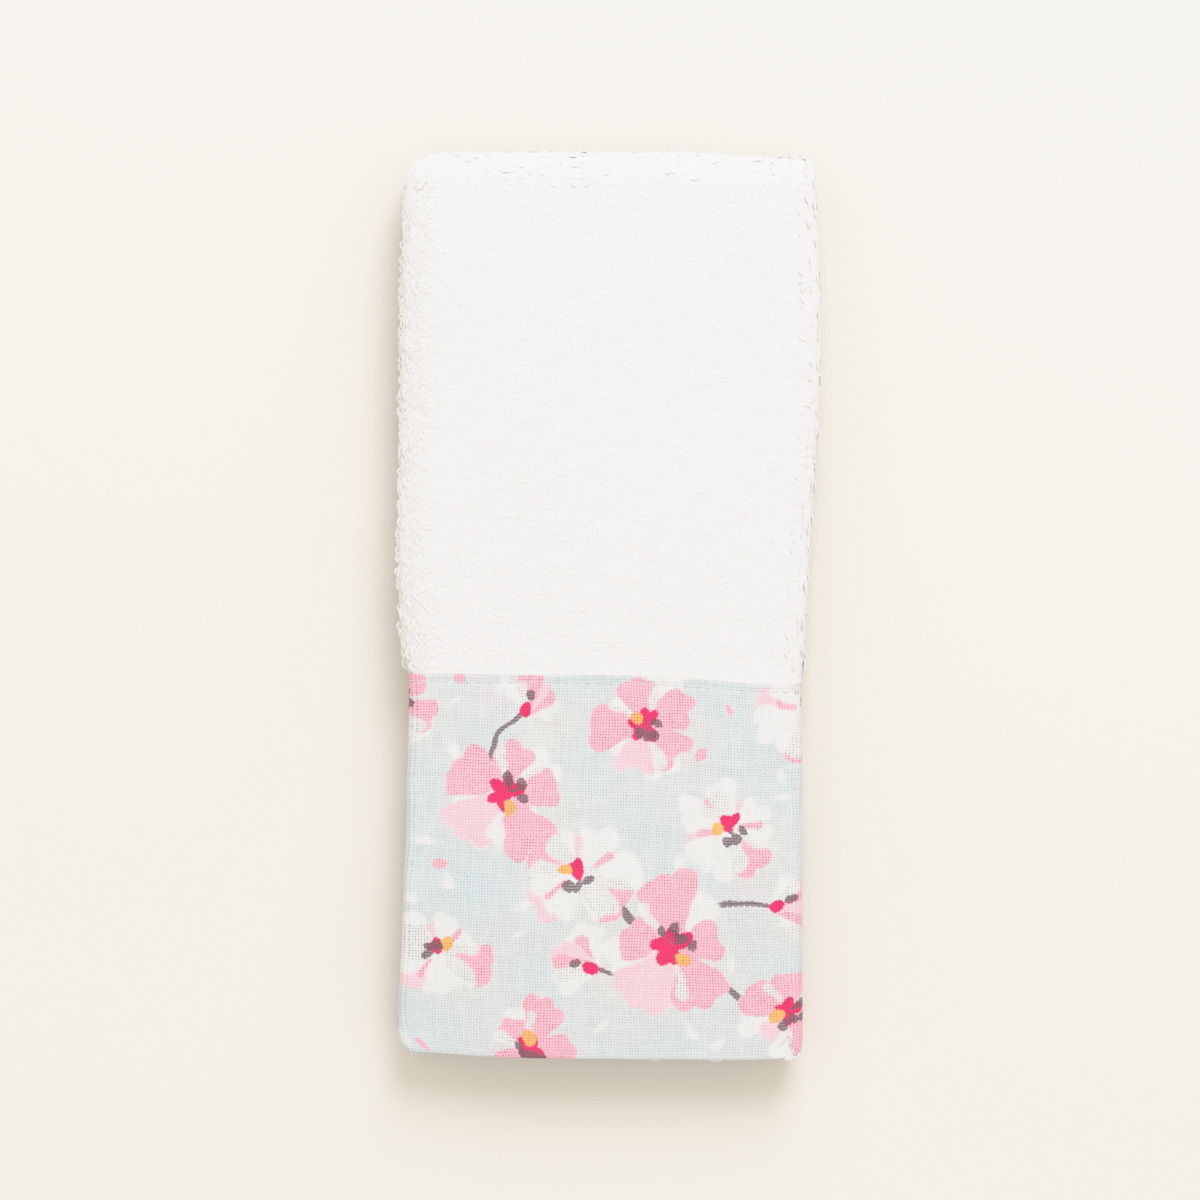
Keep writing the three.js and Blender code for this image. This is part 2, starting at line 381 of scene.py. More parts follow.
def mixColour(tree, share, under, over, **settings):
    inputs = {0: share, 6: under, 7: over}
    return addNode(tree, "ShaderNodeMix", inputs, data_type="RGBA", **settings).outputs[2]


def dimColour(tree, colour, light):
    # the colour as it looks when only this share of the light comes back
    grey = addNode(tree, "ShaderNodeCombineColor", {0: light, 1: light, 2: light}).outputs[0]
    return mixColour(tree, 1.0, colour, grey, blend_type="MULTIPLY")


def addBump(tree, shader, height, distance):
    bump = addNode(tree, "ShaderNodeBump", {"Height": height, "Distance": distance * millimetre})
    tree.links.new(bump.outputs["Normal"], shader.inputs["Normal"])


cotton = {"specular": 0.2, "sheenRoughness": 0.6, "mostReflected": 0.95}


def startMaterial(name, roughness, sheen):
    material = bpy.data.materials.new(name)
    material.use_nodes = True
    tree = material.node_tree
    shader = tree.nodes["Principled BSDF"]
    shader.inputs["Roughness"].default_value = roughness
    shader.inputs["Specular IOR Level"].default_value = cotton["specular"]
    shader.inputs["Sheen Weight"].default_value = sheen
    shader.inputs["Sheen Roughness"].default_value = cotton["sheenRoughness"]
    return material, tree, shader


# bright whites roll off softly, as on a bright photograph
rollOff = [(0, 0), (0.5, 0.5), (0.75, 0.745), (0.85, 0.825), (0.95, 0.88), (1.05, 0.915), (1.2, 0.94)]
rollOff += [(1.5, 0.965), (2, 0.98), (3, 0.995)]
topLight = (1.473, 1.372, 1.345)  # what a white surface on the towel's top sends back


def shade(red, green, blue):
    # the colour of a surface that looks like this on screen, in the light on the towel's top
    linear = [c / 255 for c in (red, green, blue)]
    linear = [c / 12.92 if c < 0.04045 else ((c + 0.055) / 1.055) ** 2.4 for c in linear]
    before = [np.interp(c, [row[1] for row in rollOff], [row[0] for row in rollOff]) for c in linear]
    most = cotton["mostReflected"]
    return [min(most, float(c) / light) for c, light in zip(before, topLight)] + [1.0]


# white cotton of the loops and the ground weave, with painted shade at the roots, in the dents and on the
# left side fold
terry = {
    "loopColour": (0.69, 0.693, 0.671, 1),
    "shadeColour": (0.674, 0.676, 0.656, 1),
    # painted cool shade at the roots of the loops and on the ground under the pile
    "rootShadeColour": (0.662, 0.675, 0.664, 1),
    "rootStart": 0.0,
    "rootEnd": 0.35,
    "patchSize": 9,
    # painted shade in the dents where the matted pile parts: how dark, the strokes' width and length, where
    # they start and end, and how much darker on the left side fold
    "dentShadeDepth": 0.04,
    "dentWidth": 1.1,
    "dentLength": 3.4,
    "dentStart": 0.56,
    "dentEnd": 0.74,
    "dentShadeAtFold": 0.4,
    # painted shade on the left side fold, where it turns away from the light, and its width
    "foldShadeColour": (0.94, 0.945, 0.915, 1),
    "rimWidth": 8,
    "bareSeam": 2,
    "lumpSize": 2.1,
    "lumpDepth": 0.4,
    "fibreSize": 0.3,
    "fibreDepth": 0.08,
}


def foldShadeMask(tree, place):
    # painted shade, 1 at the left side fold, which turns away from the light and is painted a little grey,
    # and 0 on the face
    across = addNode(tree, "ShaderNodeSeparateXYZ", {0: place}).outputs[0]
    start = -foldedWidth / 2 * millimetre
    end = start + terry["rimWidth"] * millimetre
    return addRamp(tree, across, end, start, interpolation_type="SMOOTHSTEP")


def paintedDentShade(tree, place, rim):
    # painted shade of soft grey strokes where the matted pile parts, some upright and some lying, darker on
    # the left side fold
    wide, long = (1 / (terry[side] * millimetre) for side in ("dentWidth", "dentLength"))
    dents = 0.0
    for stretch in ((wide, long, long), (long, wide, wide)):
        stretched = addNode(tree, "ShaderNodeVectorMath", {0: place, 1: stretch}, operation="MULTIPLY")
        noise = plainNoise(tree, stretched.outputs[0])
        dents = addMath(tree, "MAXIMUM", dents, addRamp(tree, noise, terry["dentStart"], terry["dentEnd"]))
    depth = terry["dentShadeDepth"]
    deeper = addMath(tree, "MULTIPLY_ADD", rim, -terry["dentShadeAtFold"] * depth, -depth)
    return addMath(tree, "MULTIPLY_ADD", dents, deeper, 1.0)


def terryMaterial(name, above, lumpShare):
    # above is 0 at the roots of the pile, which are painted in cool shade, and 1 at its top
    material, tree, shader = startMaterial(name, 0.9, 0.15)
    place = addNode(tree, "ShaderNodeTexCoord").outputs["Object"]
    patches = addNoise(tree, place, terry["patchSize"], 3.0)
    colour = mixColour(tree, patches, terry["shadeColour"], terry["loopColour"])
    # painted shade on the left side fold, where it turns away from the light
    rim = foldShadeMask(tree, place)
    shadedFold = mixColour(tree, rim, (1, 1, 1, 1), terry["foldShadeColour"])
    colour = mixColour(tree, 1.0, colour, shadedFold, blend_type="MULTIPLY")
    # painted shade in the dents of the pile
    colour = dimColour(tree, colour, paintedDentShade(tree, place, rim))
    # painted cool shade at the roots
    colour = mixColour(tree, above(tree), terry["rootShadeColour"], colour)
    tree.links.new(colour, shader.inputs["Base Color"])
    lumpDepth = terry["lumpDepth"] * lumpShare
    lumps = addMath(tree, "MULTIPLY", addNoise(tree, place, terry["lumpSize"]), lumpDepth)
    fibres = addMath(tree, "MULTIPLY", addNoise(tree, place, terry["fibreSize"]), terry["fibreDepth"])
    addBump(tree, shader, addMath(tree, "ADD", lumps, fibres), 1)
    return material


def aboveRoots(tree):
    depth = addNode(tree, "ShaderNodeAttribute", attribute_name="depth").outputs["Fac"]
    return addRamp(tree, depth, terry["rootStart"], terry["rootEnd"])


def besidePile(tree):
    # painted shade: the ground under the pile takes all of the roots' cool shade, and the hem and the seam,
    # which are bare, none
    flat = addNode(tree, "ShaderNodeUVMap", uv_map="cloth").outputs["UV"]
    along = addNode(tree, "ShaderNodeSeparateXYZ", {0: flat}).outputs[1]
    hem = hemStart * millimetre
    seam = (cloth["bandHeight"] + terry["bareSeam"]) * millimetre
    onHem = addRamp(tree, along, hem - millimetre, hem)
    onSeam = addRamp(tree, along, seam, seam - millimetre)
    return addMath(tree, "MAXIMUM", onHem, onSeam)


# the weave, with painted shade in its holes and the gaps between its threads, and the inks of the printed
# cotton
weave = {
    "pitch": 0.78,
    "wander": 1.6,
    "wanderSize": 16,
    "slubLength": 9,
    "slubDepth": 0.13,
    "threadStep": 5.3,  # how far apart in the noise two neighbouring threads are
    # painted shade in the holes and in the gaps between threads
    "holeShadeDepth": 0.27,
    "holeSpread": 1.2,
    "holeLeast": 0.4,
    "gapShadeDepth": 0.05,
    "holeShadeIn": {"pink": 1.1, "cream": -0.45},  # how much deeper the holes look in these inks
    "patchSize": 7,
    "inkGaps": 0.45,
    "inkSteps": 0.12,
    "darkest": 0.1,
    "crownShare": 0.3,
    "bumpDepth": 0.07,
}
inks = {
    "ground": shade(225, 231, 231),
    "haze": shade(237, 233, 226),
    "blush": shade(241, 226, 225),
    "twig": shade(128, 106, 114),
    "rose": shade(247, 217, 222),
    "pink": shade(249, 201, 213),
    "cream": shade(240, 238, 235),
    "crimson": shade(247, 60, 118),
    "yellow": shade(249, 196, 118),
    "grey": shade(128, 106, 114),
}
# painted from the bottom up: attribute and channel, ink, softness of its edge in millimetres
inkLayers = [
    ("washInks", 2, "twig", 0.14),
    ("petalInks", 2, "rose", 0.3),
    ("petalInks", 0, "pink", 0.14),
    ("petalInks", 1, "cream", 0.5),
    ("markInks", 0, "crimson", 0.14),
    ("markInks", 1, "yellow", 0.2),
    ("markInks", 2, "grey", 0.14),
]
sparseInks = ("twig", "grey")  # these leave the gaps between the threads pale


def threadShade(tree, onThread, thread, start):
    # one thread's own light and dark stretches
    number = addMath(tree, "MULTIPLY", addMath(tree, "FLOOR", thread), weave["threadStep"])
    stretch = addMath(tree, "MULTIPLY", onThread, weave["pitch"] / weave["slubLength"])
    place = addNode(tree, "ShaderNodeCombineXYZ", {0: stretch, 1: number, 2: start}).outputs[0]
    noise = plainNoise(tree, place)
    return addMath(tree, "MULTIPLY_ADD", noise, weave["slubDepth"], -weave["slubDepth"] / 2)


def weaveTexture(tree, flat):
    # the threads' own light and dark stretches, painted shade in the holes and gaps, and height of a plain
    # weave on the cloth's own map, threads a little astray
    noise = addNoise(tree, flat, weave["wanderSize"], output="Color")
    astray = scaleVector(tree, noise, weave["wander"] * millimetre)
    moved = addNode(tree, "ShaderNodeVectorMath", {0: flat, 1: astray}, operation="ADD").outputs[0]
    threads = scaleVector(tree, moved, 1 / (weave["pitch"] * millimetre))
    parts = addNode(tree, "ShaderNodeSeparateXYZ", {0: threads})
    across, along = parts.outputs[0], parts.outputs[1]
    waves = [addMath(tree, "SINE", addMath(tree, "MULTIPLY", place, math.pi)) for place in (across, along)]
    gaps = [addMath(tree, "SUBTRACT", 1.0, addMath(tree, "ABSOLUTE", wave)) for wave in waves]
    hole = addMath(tree, "MULTIPLY", *gaps)
    crown = addMath(tree, "MULTIPLY", *waves)

    # every hole's painted shade has its own strength, and it shows more in some patches
    cell = [addMath(tree, "ROUND", place) for place in (across, along)]
    place = addNode(tree, "ShaderNodeCombineXYZ", {0: cell[0], 1: cell[1]}).outputs[0]
    own = addNode(tree, "ShaderNodeTexWhiteNoise", {"Vector": place}, noise_dimensions="2D").outputs["Value"]
    own = addMath(tree, "MULTIPLY_ADD", own, weave["holeSpread"], weave["holeLeast"])
    patch = addMath(tree, "MULTIPLY", addNoise(tree, flat, weave["patchSize"]), 2 * weave["holeShadeDepth"])
    holeShade = addMath(tree, "MULTIPLY", hole, addMath(tree, "MULTIPLY", own, patch))
    holeShade = addMath(tree, "MULTIPLY_ADD", addMath(tree, "ADD", *gaps), weave["gapShadeDepth"], holeShade)
    lengthwise, crosswise = threadShade(tree, across, along, 0.0), threadShade(tree, along, across, 7.0)
    slubs = addMath(tree, "ADD", lengthwise, crosswise)
    sunk = addMath(tree, "MULTIPLY", hole, -1.0)
    height = addMath(tree, "MULTIPLY_ADD", crown, weave["crownShare"], sunk)
    return {"slubs": slubs, "holeShade": holeShade, "gap": gaps[1], "crown": crown, "height": height}


def printMaterial():
    material, tree, shader = startMaterial("printedCotton", 0.85, 0.1)
    flat = addNode(tree, "ShaderNodeUVMap", uv_map="cloth").outputs["UV"]
    woven = weaveTexture(tree, flat)
    fields = {}
    for name in ("washInks", "petalInks", "markInks"):
        field = addNode(tree, "ShaderNodeAttribute", attribute_name=name).outputs["Vector"]
        fields[name] = addNode(tree, "ShaderNodeSeparateXYZ", {0: field}).outputs
    colour = mixColour(tree, fields["washInks"][0], inks["ground"], inks["haze"])
    colour = mixColour(tree, fields["washInks"][1], colour, inks["blush"])
    steps = addMath(tree, "MULTIPLY", woven["crown"], weave["inkSteps"])
    between = addMath(tree, "MULTIPLY_ADD", woven["gap"], -weave["inkGaps"], 1.0)
    deeper = 1.0
    for name, channel, ink, softness in inkLayers:
        place = addMath(tree, "ADD", fields[name][channel], steps)
        covered = addRamp(tree, place, -softness, softness)
        if ink in weave["holeShadeIn"]:
            deeper = addMath(tree, "MULTIPLY_ADD", covered, weave["holeShadeIn"][ink], deeper)
        if ink in sparseInks:
            covered = addMath(tree, "MULTIPLY", covered, between)
        colour = mixColour(tree, covered, colour, inks[ink])
    # the painted shade of the holes and gaps, with the threads' own light and dark stretches
    light = addMath(tree, "SUBTRACT", 1.0, addMath(tree, "MULTIPLY", woven["holeShade"], deeper))
    light = addMath(tree, "MAXIMUM", addMath(tree, "ADD", light, woven["slubs"]), weave["darkest"])
    tree.links.new(dimColour(tree, colour, light), shader.inputs["Base Color"])
    addBump(tree, shader, woven["height"], weave["bumpDepth"])
    return material


# a made-up blossom pattern, in millimetres from the face's lower left corner
pattern = {
    "seed": 11,
    "blossoms": [
        {"x": 71, "y": 30, "size": 36, "turn": 20, "kind": "pink"},
        {"x": 45, "y": 49, "size": 33, "turn": 62, "kind": "cream"},
        {"x": 25, "y": 71, "size": 33, "turn": 5, "kind": "pink"},
        {"x": 86, "y": 63, "size": 27, "turn": 40, "kind": "cream"},
        {"x": 8, "y": 27, "size": 26, "turn": 80, "kind": "cream"},
        {"x": 63, "y": 90, "size": 29, "turn": 33, "kind": "pink"},
        {"x": 102, "y": 12, "size": 26, "turn": 12, "kind": "pink"},
        {"x": -6, "y": 96, "size": 26, "turn": 50, "kind": "pink"},
        {"x": 33, "y": 2, "size": 25, "turn": 70, "kind": "pink"},
        {"x": 107, "y": 95, "size": 28, "turn": 5, "kind": "cream"},
        {"x": -32, "y": 45, "size": 30, "turn": 15, "kind": "pink"},
        {"x": 134, "y": 50, "size": 30, "turn": 44, "kind": "pink"},
    ],
    "sideBlossoms": [
        {"x": 49, "y": 24, "size": 22, "turn": 150},
        {"x": 30, "y": 94, "size": 20, "turn": 60},
        {"x": 99, "y": 42, "size": 19, "turn": 5},
    ],
    "twigs": [
        {"x": 108, "y": -6, "bendX": 97, "bendY": 12, "endX": 82, "endY": 21, "width": 2.6},
        {"x": 60, "y": 37, "bendX": 55, "bendY": 43, "endX": 52, "endY": 44, "width": 2.2},
        {"x": 37, "y": 58, "bendX": 34, "bendY": 60, "endX": 31, "endY": 64, "width": 2.0},
        {"x": 20, "y": 80, "bendX": 20, "bendY": 87, "endX": 29, "endY": 93, "width": 1.9},
        {"x": 78, "y": 40, "bendX": 86, "bendY": 44, "endX": 98, "endY": 42, "width": 1.7},
        {"x": 62, "y": 22, "bendX": 57, "bendY": 21, "endX": 50, "endY": 24, "width": 1.7},
    ],
    "looseDabs": {
        "count": 46,
        "across": (-8, 112),
        "along": (0, 103),
        "length": (1.5, 2.8),
        "width": 0.5,
        "pinkEvery": 6,
    },
    "waver": 0.45,  # the outlines waver as if drawn with a brush
    "twigTaper": 0.35,
    "twigSteps": 8,
}
# faint washes over the whole ground, and stronger ones beside each blossom
washes = [
    {
        "level": 0.09,
        "lift": 0.5,
        "patchSize": 26,
        "seed": 5,
        "x": 6,
        "y": -4,
        "width": 0.42,
        "strength": 0.75,
        "most": 0.9,
    },
    {
        "level": 0.1,
        "lift": 0.0,
        "patchSize": 31,
        "seed": 6,
        "x": -9,
        "y": 3,
        "width": 0.3,
        "strength": 0.3,
        "most": 0.7,
    },
]
# a petal's strokes, as shares of its length or width
petal = {
    "root": 0.12,
    "belly": 0.62,
    "bellyWidth": 0.42,
    "fingerRoot": 0.25,
    "fingerRootWidth": 0.9,
    "fingerWidth": 1.25,
    "fingerFan": 1.5,
    "fingerReach": (0.86, 1.08),
    "fingerSway": (-0.05, 0.05),
}
# the marks in a blossom's middle, as shares of its size, and the dots on its stamens in millimetres
heart = {
    "turn": 0.4,
    "sway": (-0.2, 0.2),
    "reach": (0.05, 0.1),
    "length": 0.085,
    "width": 0.055,
    "yellowTurn": (0.9, 1.4),
    "yellowReach": 0.12,
    "yellowDot": (2.0, 1.6),
    "stamenStep": (0.6, 0.95),
    "stamenReach": (0.08, 0.17),
    "stamenRoot": 0.03,
    "stamenWidth": (0.4, 0.5),
    "dotRadius": (1.15, 1.5),
    "dotLength": 1.25,
    "dotSway": (-0.9, 0.9),
}
upperInks = {
    "rose": ("pink", "cream", "crimson", "yellow", "grey"),
    "pink": ("cream", "crimson", "yellow", "grey"),
    "cream": ("crimson", "yellow", "grey"),
    "crimson": ("yellow", "grey"),
    "yellow": ("grey",),
}


def cover(fields, ink, shape):
    # ink laid over all that is painted so far, so the inks printed above it give way
    fields[ink] = np.maximum(fields[ink], shape)
    for upper in upperInks.get(ink, ()):
        fields[upper] = np.minimum(fields[upper], -shape)


def dab(u, v, x, y, length, width, turn):
    # an oval spot; like all shapes here it is above zero inside, in millimetres from its edge
    c, s = math.cos(turn), math.sin(turn)
    along, aside = (u - x) * c + (v - y) * s, (v - y) * c - (u - x) * s
    return (1 - np.hypot(along / length, aside / width)) * min(length, width)


def stroke(u, v, start, end, startRadius, endRadius):
    # a brush stroke between two points
    dx, dy = end[0] - start[0], end[1] - start[1]
    t = np.clip(((u - start[0]) * dx + (v - start[1]) * dy) / (dx * dx + dy * dy), 0, 1)
    radius = startRadius + t * (endRadius - startRadius)
    return radius - np.hypot(u - start[0] - t * dx, v - start[1] - t * dy)


def spot(x, y, reach, heading):
    return x + reach * math.cos(heading), y + reach * math.sin(heading)


def rayStroke(u, v, row, heading, start, end, startRadius, endRadius):
    # a stroke outwards from a blossom's middle
    x, y = row["x"], row["y"]
    return stroke(u, v, spot(x, y, start, heading), spot(x, y, end, heading), startRadius, endRadius)


def brushPetal(u, v, row, heading, length, width, fingers, draws):
    # a petal of a few fat strokes side by side, so its tip is lobed
    tip = width / (fingers + 1) * petal["fingerWidth"]
    root, belly = length * petal["root"], length * petal["belly"]
    shape = rayStroke(u, v, row, heading, root, belly, tip, width * petal["bellyWidth"])
    start = spot(row["x"], row["y"], length * petal["fingerRoot"], heading)
    for finger in range(fingers):
        aside = (finger - (fingers - 1) / 2) * width / length / fingers * petal["fingerFan"]
        reach = length * draws.uniform(*petal["fingerReach"]) - tip
        end = spot(row["x"], row["y"], reach, heading + aside + draws.uniform(*petal["fingerSway"]))
        shape = np.maximum(shape, stroke(u, v, start, end, tip * petal["fingerRootWidth"], tip))
    return shape


def paintHeart(fields, u, v, row, draws, lobes, spread):
    size = row["size"]
    for lobe in range(lobes):
        heading = math.radians(row["turn"]) + heart["turn"] + lobe * spread / lobes
        heading = heading + draws.uniform(*heart["sway"])
        x, y = spot(row["x"], row["y"], size * draws.uniform(*heart["reach"]), heading)
        shape = dab(u, v, x, y, size * heart["length"], size * heart["width"], heading)
        cover(fields, "crimson", shape)


def paintStamens(fields, u, v, row, draws, count):
    x, y, size = row["x"], row["y"], row["size"]
    fan = draws.uniform(0, 2 * math.pi)
    beside = fan - draws.uniform(*heart["yellowTurn"])
    place = spot(x, y, size * heart["yellowReach"], beside)
    cover(fields, "yellow", dab(u, v, *place, *heart["yellowDot"], beside))
    for number in range(count):
        heading = fan + number * draws.uniform(*heart["stamenStep"])
        tip = spot(x, y, size * draws.uniform(*heart["stamenReach"]), heading)
        if number % 2:
            root = spot(x, y, size * heart["stamenRoot"], heading)
            cover(fields, "grey", stroke(u, v, root, tip, *heart["stamenWidth"]))
        radius = draws.uniform(*heart["dotRadius"])
        turn = heading + draws.uniform(*heart["dotSway"])
        cover(fields, "grey", dab(u, v, *tip, radius * heart["dotLength"], radius, turn))


def paintPetal(fields, u, v, row, draws, ink, heading, kind, fingers=2):
    length = row["size"] / 2 * draws.uniform(*kind["length"])
    cover(fields, ink, brushPetal(u, v, row, heading, length, length * kind["width"], fingers, draws))


def paintRay(fields, u, v, row, draws, ink, heading, ray):
    start, end = (row["size"] * share for share in ray["reach"])
    shape = rayStroke(u, v, row, heading, start, end, ray["root"], draws.uniform(*ray["tip"]))
    cover(fields, ink, shape)


# the three kinds of blossom: a petal's length is a share of half the blossom's size, and its width
# of that length, but in pale and rose petals both are shares of the whole size; turns are in petals,
# and in radians in the side blossom, as all sways are
pinkBlossom = {
    "petals": 5,
    "sway": (-0.12, 0.12),
    "length": (0.78, 1.18),
    "width": 0.6,
    "paleSway": (-0.1, 0.1),
    "paleLength": (0.46, 0.56),
    "paleWidth": 0.25,
    "raySway": (-0.35, 0.35),
    "ray": {"reach": (0.17, 0.36), "root": 0.7, "tip": (1.2, 1.9)},
    "lobes": 5,
    "lobeSpread": 5.0,
    "stamens": 4,
}
creamBlossom = {
    "petals": 6,
    "sway": (-0.15, 0.15),
    "length": (0.8, 1.12),
    "width": 0.46,
    "under": {"turn": 0.4, "length": (0.9, 1.15), "width": 0.55},
    "rose": {"turn": 2.6, "length": 0.48, "width": 0.24},
    "ray": {"reach": (0.14, 0.3), "root": 0.6, "tip": (0.9, 1.3)},
    "lobes": 2,
    "lobeSpread": 1.6,
    "stamens": 3,
}
sideBlossom = {
    "fan": 0.5,
    "sway": (-0.08, 0.08),
    "length": (0.85, 1.15),
    "width": 0.5,
    "cup": (0.11, 0.08),
    "tipReach": 0.2,
    "tipTurn": 0.3,
    "dot": (1.6, 1.2),
    "dotTurn": 0.5,
}


def paintMiddle(fields, u, v, row, draws, kind):
    paintHeart(fields, u, v, row, draws, kind["lobes"], kind["lobeSpread"])
    paintStamens(fields, u, v, row, draws, kind["stamens"])


def paintPinkBlossom(fields, u, v, row, draws):
    kind, turn, size = pinkBlossom, math.radians(row["turn"]), row["size"]
    step = 2 * math.pi / kind["petals"]
    # pale petals lie under and between the pink ones
    for number in (0, 2, 3):
        heading = turn + (number + 0.5) * step + draws.uniform(*kind["paleSway"])
        length = size * draws.uniform(*kind["paleLength"])
        shape = brushPetal(u, v, row, heading, length, size * kind["paleWidth"], 2, draws)
        cover(fields, "cream", shape)
    for number in (1, 4, 2, 0, 3):
        heading = turn + number * step + draws.uniform(*kind["sway"])
        ink = "rose" if number == 3 else "pink"
        paintPetal(fields, u, v, row, draws, ink, heading, kind, 3)
    for number in (0, 1, 3):
        heading = turn + (number + 0.5) * step + draws.uniform(*kind["raySway"])
        paintRay(fields, u, v, row, draws, "cream", heading, kind["ray"])
    paintMiddle(fields, u, v, row, draws, kind)


def paintCreamBlossom(fields, u, v, row, draws):
    kind, turn, size = creamBlossom, math.radians(row["turn"]), row["size"]
    under, rose, step = kind["under"], kind["rose"], 2 * math.pi / kind["petals"]
    for number in (1, 4):
        paintPetal(fields, u, v, row, draws, "pink", turn + (number + under["turn"]) * step, under)
    length, width = size * rose["length"], size * rose["width"]
    cover(fields, "rose", brushPetal(u, v, row, turn + rose["turn"] * step, length, width, 2, draws))
    for number in (0, 3, 1, 5, 2, 4):
        heading = turn + number * step + draws.uniform(*kind["sway"])
        paintPetal(fields, u, v, row, draws, "cream", heading, kind)
    for number, ink in ((0, "rose"), (2, "pink"), (5, "pink")):
        paintRay(fields, u, v, row, draws, ink, turn + (number + 0.5) * step, kind["ray"])
    paintMiddle(fields, u, v, row, draws, kind)


def paintSideBlossom(fields, u, v, row, draws):
    kind, turn, size = sideBlossom, math.radians(row["turn"]), row["size"]
    for number, ink in enumerate(("cream", "pink", "rose", "pink", "cream")):
        heading = turn + (number - 2) * kind["fan"] + draws.uniform(*kind["sway"])
        paintPetal(fields, u, v, row, draws, ink, heading, kind)
    length, width = (size * share for share in kind["cup"])
    cover(fields, "crimson", dab(u, v, row["x"], row["y"], length, width, turn))
    tip = spot(row["x"], row["y"], size * kind["tipReach"], turn + kind["tipTurn"])
    cover(fields, "grey", dab(u, v, *tip, *kind["dot"], turn + kind["dotTurn"]))


def paintTwig(fields, u, v, row):
    last = None
    for i in range(pattern["twigSteps"] + 1):
        t = i / pattern["twigSteps"]
        a, b, c = (1 - t) ** 2, 2 * t * (1 - t), t * t
        x = a * row["x"] + b * row["bendX"] + c * row["endX"]
        y = a * row["y"] + b * row["bendY"] + c * row["endY"]
        radius = row["width"] / 2 * (1 - pattern["twigTaper"] * t)
        if last:
            cover(fields, "twig", stroke(u, v, last, (x, y), radius, radius))
        last = x, y


def paintWash(u, v, wash):
    share = wash["level"] * (wash["lift"] + ripple(u, v, wash["patchSize"], wash["seed"]))
    for row in pattern["blossoms"] + pattern["sideBlossoms"]:
        away = np.hypot(u - row["x"] - wash["x"], v - row["y"] - wash["y"])
        near = away / (row["size"] * wash["width"])
        share = share + wash["strength"] * np.exp(-near * near)
    return np.clip(share, 0, wash["most"])


def paintPattern(u, v):
    draws = np.random.default_rng(pattern["seed"])
    waver = (
        u + pattern["waver"] * ripple(u, v, 7, 3),
        v + pattern["waver"] * ripple(u, v, 6, 4),
    )
    fields = {name: np.full(u.shape, -9.0) for name in inks}  # far outside every shape
    haze, blush = (paintWash(u, v, wash) for wash in washes)
    for row in pattern["twigs"]:
        paintTwig(fields, *waver, row)
    loose = pattern["looseDabs"]
    for i in range(loose["count"]):
        x, y = draws.uniform(*loose["across"]), draws.uniform(*loose["along"])
        length = draws.uniform(*loose["length"])
        shape = dab(*waver, x, y, length, length * loose["width"], draws.uniform(0, math.pi))
        cover(fields, "cream" if i % loose["pinkEvery"] else "pink", shape)
    for row in pattern["sideBlossoms"]:
        paintSideBlossom(fields, *waver, row, draws)
    for row in sorted(pattern["blossoms"], key=lambda row: row["kind"] == "cream"):
        paint = paintPinkBlossom if row["kind"] == "pink" else paintCreamBlossom
        paint(fields, *waver, row, draws)
    return {
        "washInks": np.stack([haze, blush, fields["twig"]], axis=-1),
        "petalInks": np.stack([fields["pink"], fields["cream"], fields["rose"]], axis=-1),
        "markInks": np.stack([fields["crimson"], fields["yellow"], fields["grey"]], axis=-1),
    }


# the ground cloth under the pile: its loops are matted, so most of their height is filled
groundCloth = {
    "fine": 2.2,
    "sparse": 6.0,
    "fold": 0.9,
    "tightShare": 0.6,  # the left fold is tighter, so its steps are this much shorter
    "selvedge": (2.5, 1.25),  # each of these zones has its width and its step
    "seamZone": (3, 0.2),
    "hemZone": (2, 1.0),
    "visibleReach": 1.2,
    "hiddenReach": 1.45,
    "hiddenBlend": 6,
    "backReach": 1.1,
    "hemReach": 0.85,
    "bareReach": 0.1,
    "seamRise": (-0.4, 0.2),  # where the cloth rises to its pile past the seam, and to its hem
    "hemRise": (-0.8, 0.2),
    "rimShare": 0.5,
    "rimWidth": 2.4,
    "lumps": 0.07,
    "lumpSize": 11,
}


def hemShare(along):
    return smoothStep(along, *(hemStart + rise for rise in groundCloth["hemRise"]))


def groundReach(across, along):
    # how far the front of the ground cloth stands off its weave
    blend, bare, hem = (groundCloth[key] for key in ("hiddenBlend", "bareReach", "hemReach"))
    seen = smoothStep(across, tuckedEnd - blend, tuckedEnd)
    seen = seen * (1 - smoothStep(across, turnedStart, turnedStart + blend))
    reach = groundCloth["hiddenReach"] + seen * (groundCloth["visibleReach"] - groundCloth["hiddenReach"])
    aboveSeam = smoothStep(along, *(cloth["bandHeight"] + rise for rise in groundCloth["seamRise"]))
    reach = bare + aboveSeam * (reach - bare)
    reach = reach + hemShare(along) * (hem - reach)
    return reach + groundCloth["lumps"] * aboveSeam * ripple(across, along, groundCloth["lumpSize"], 21)


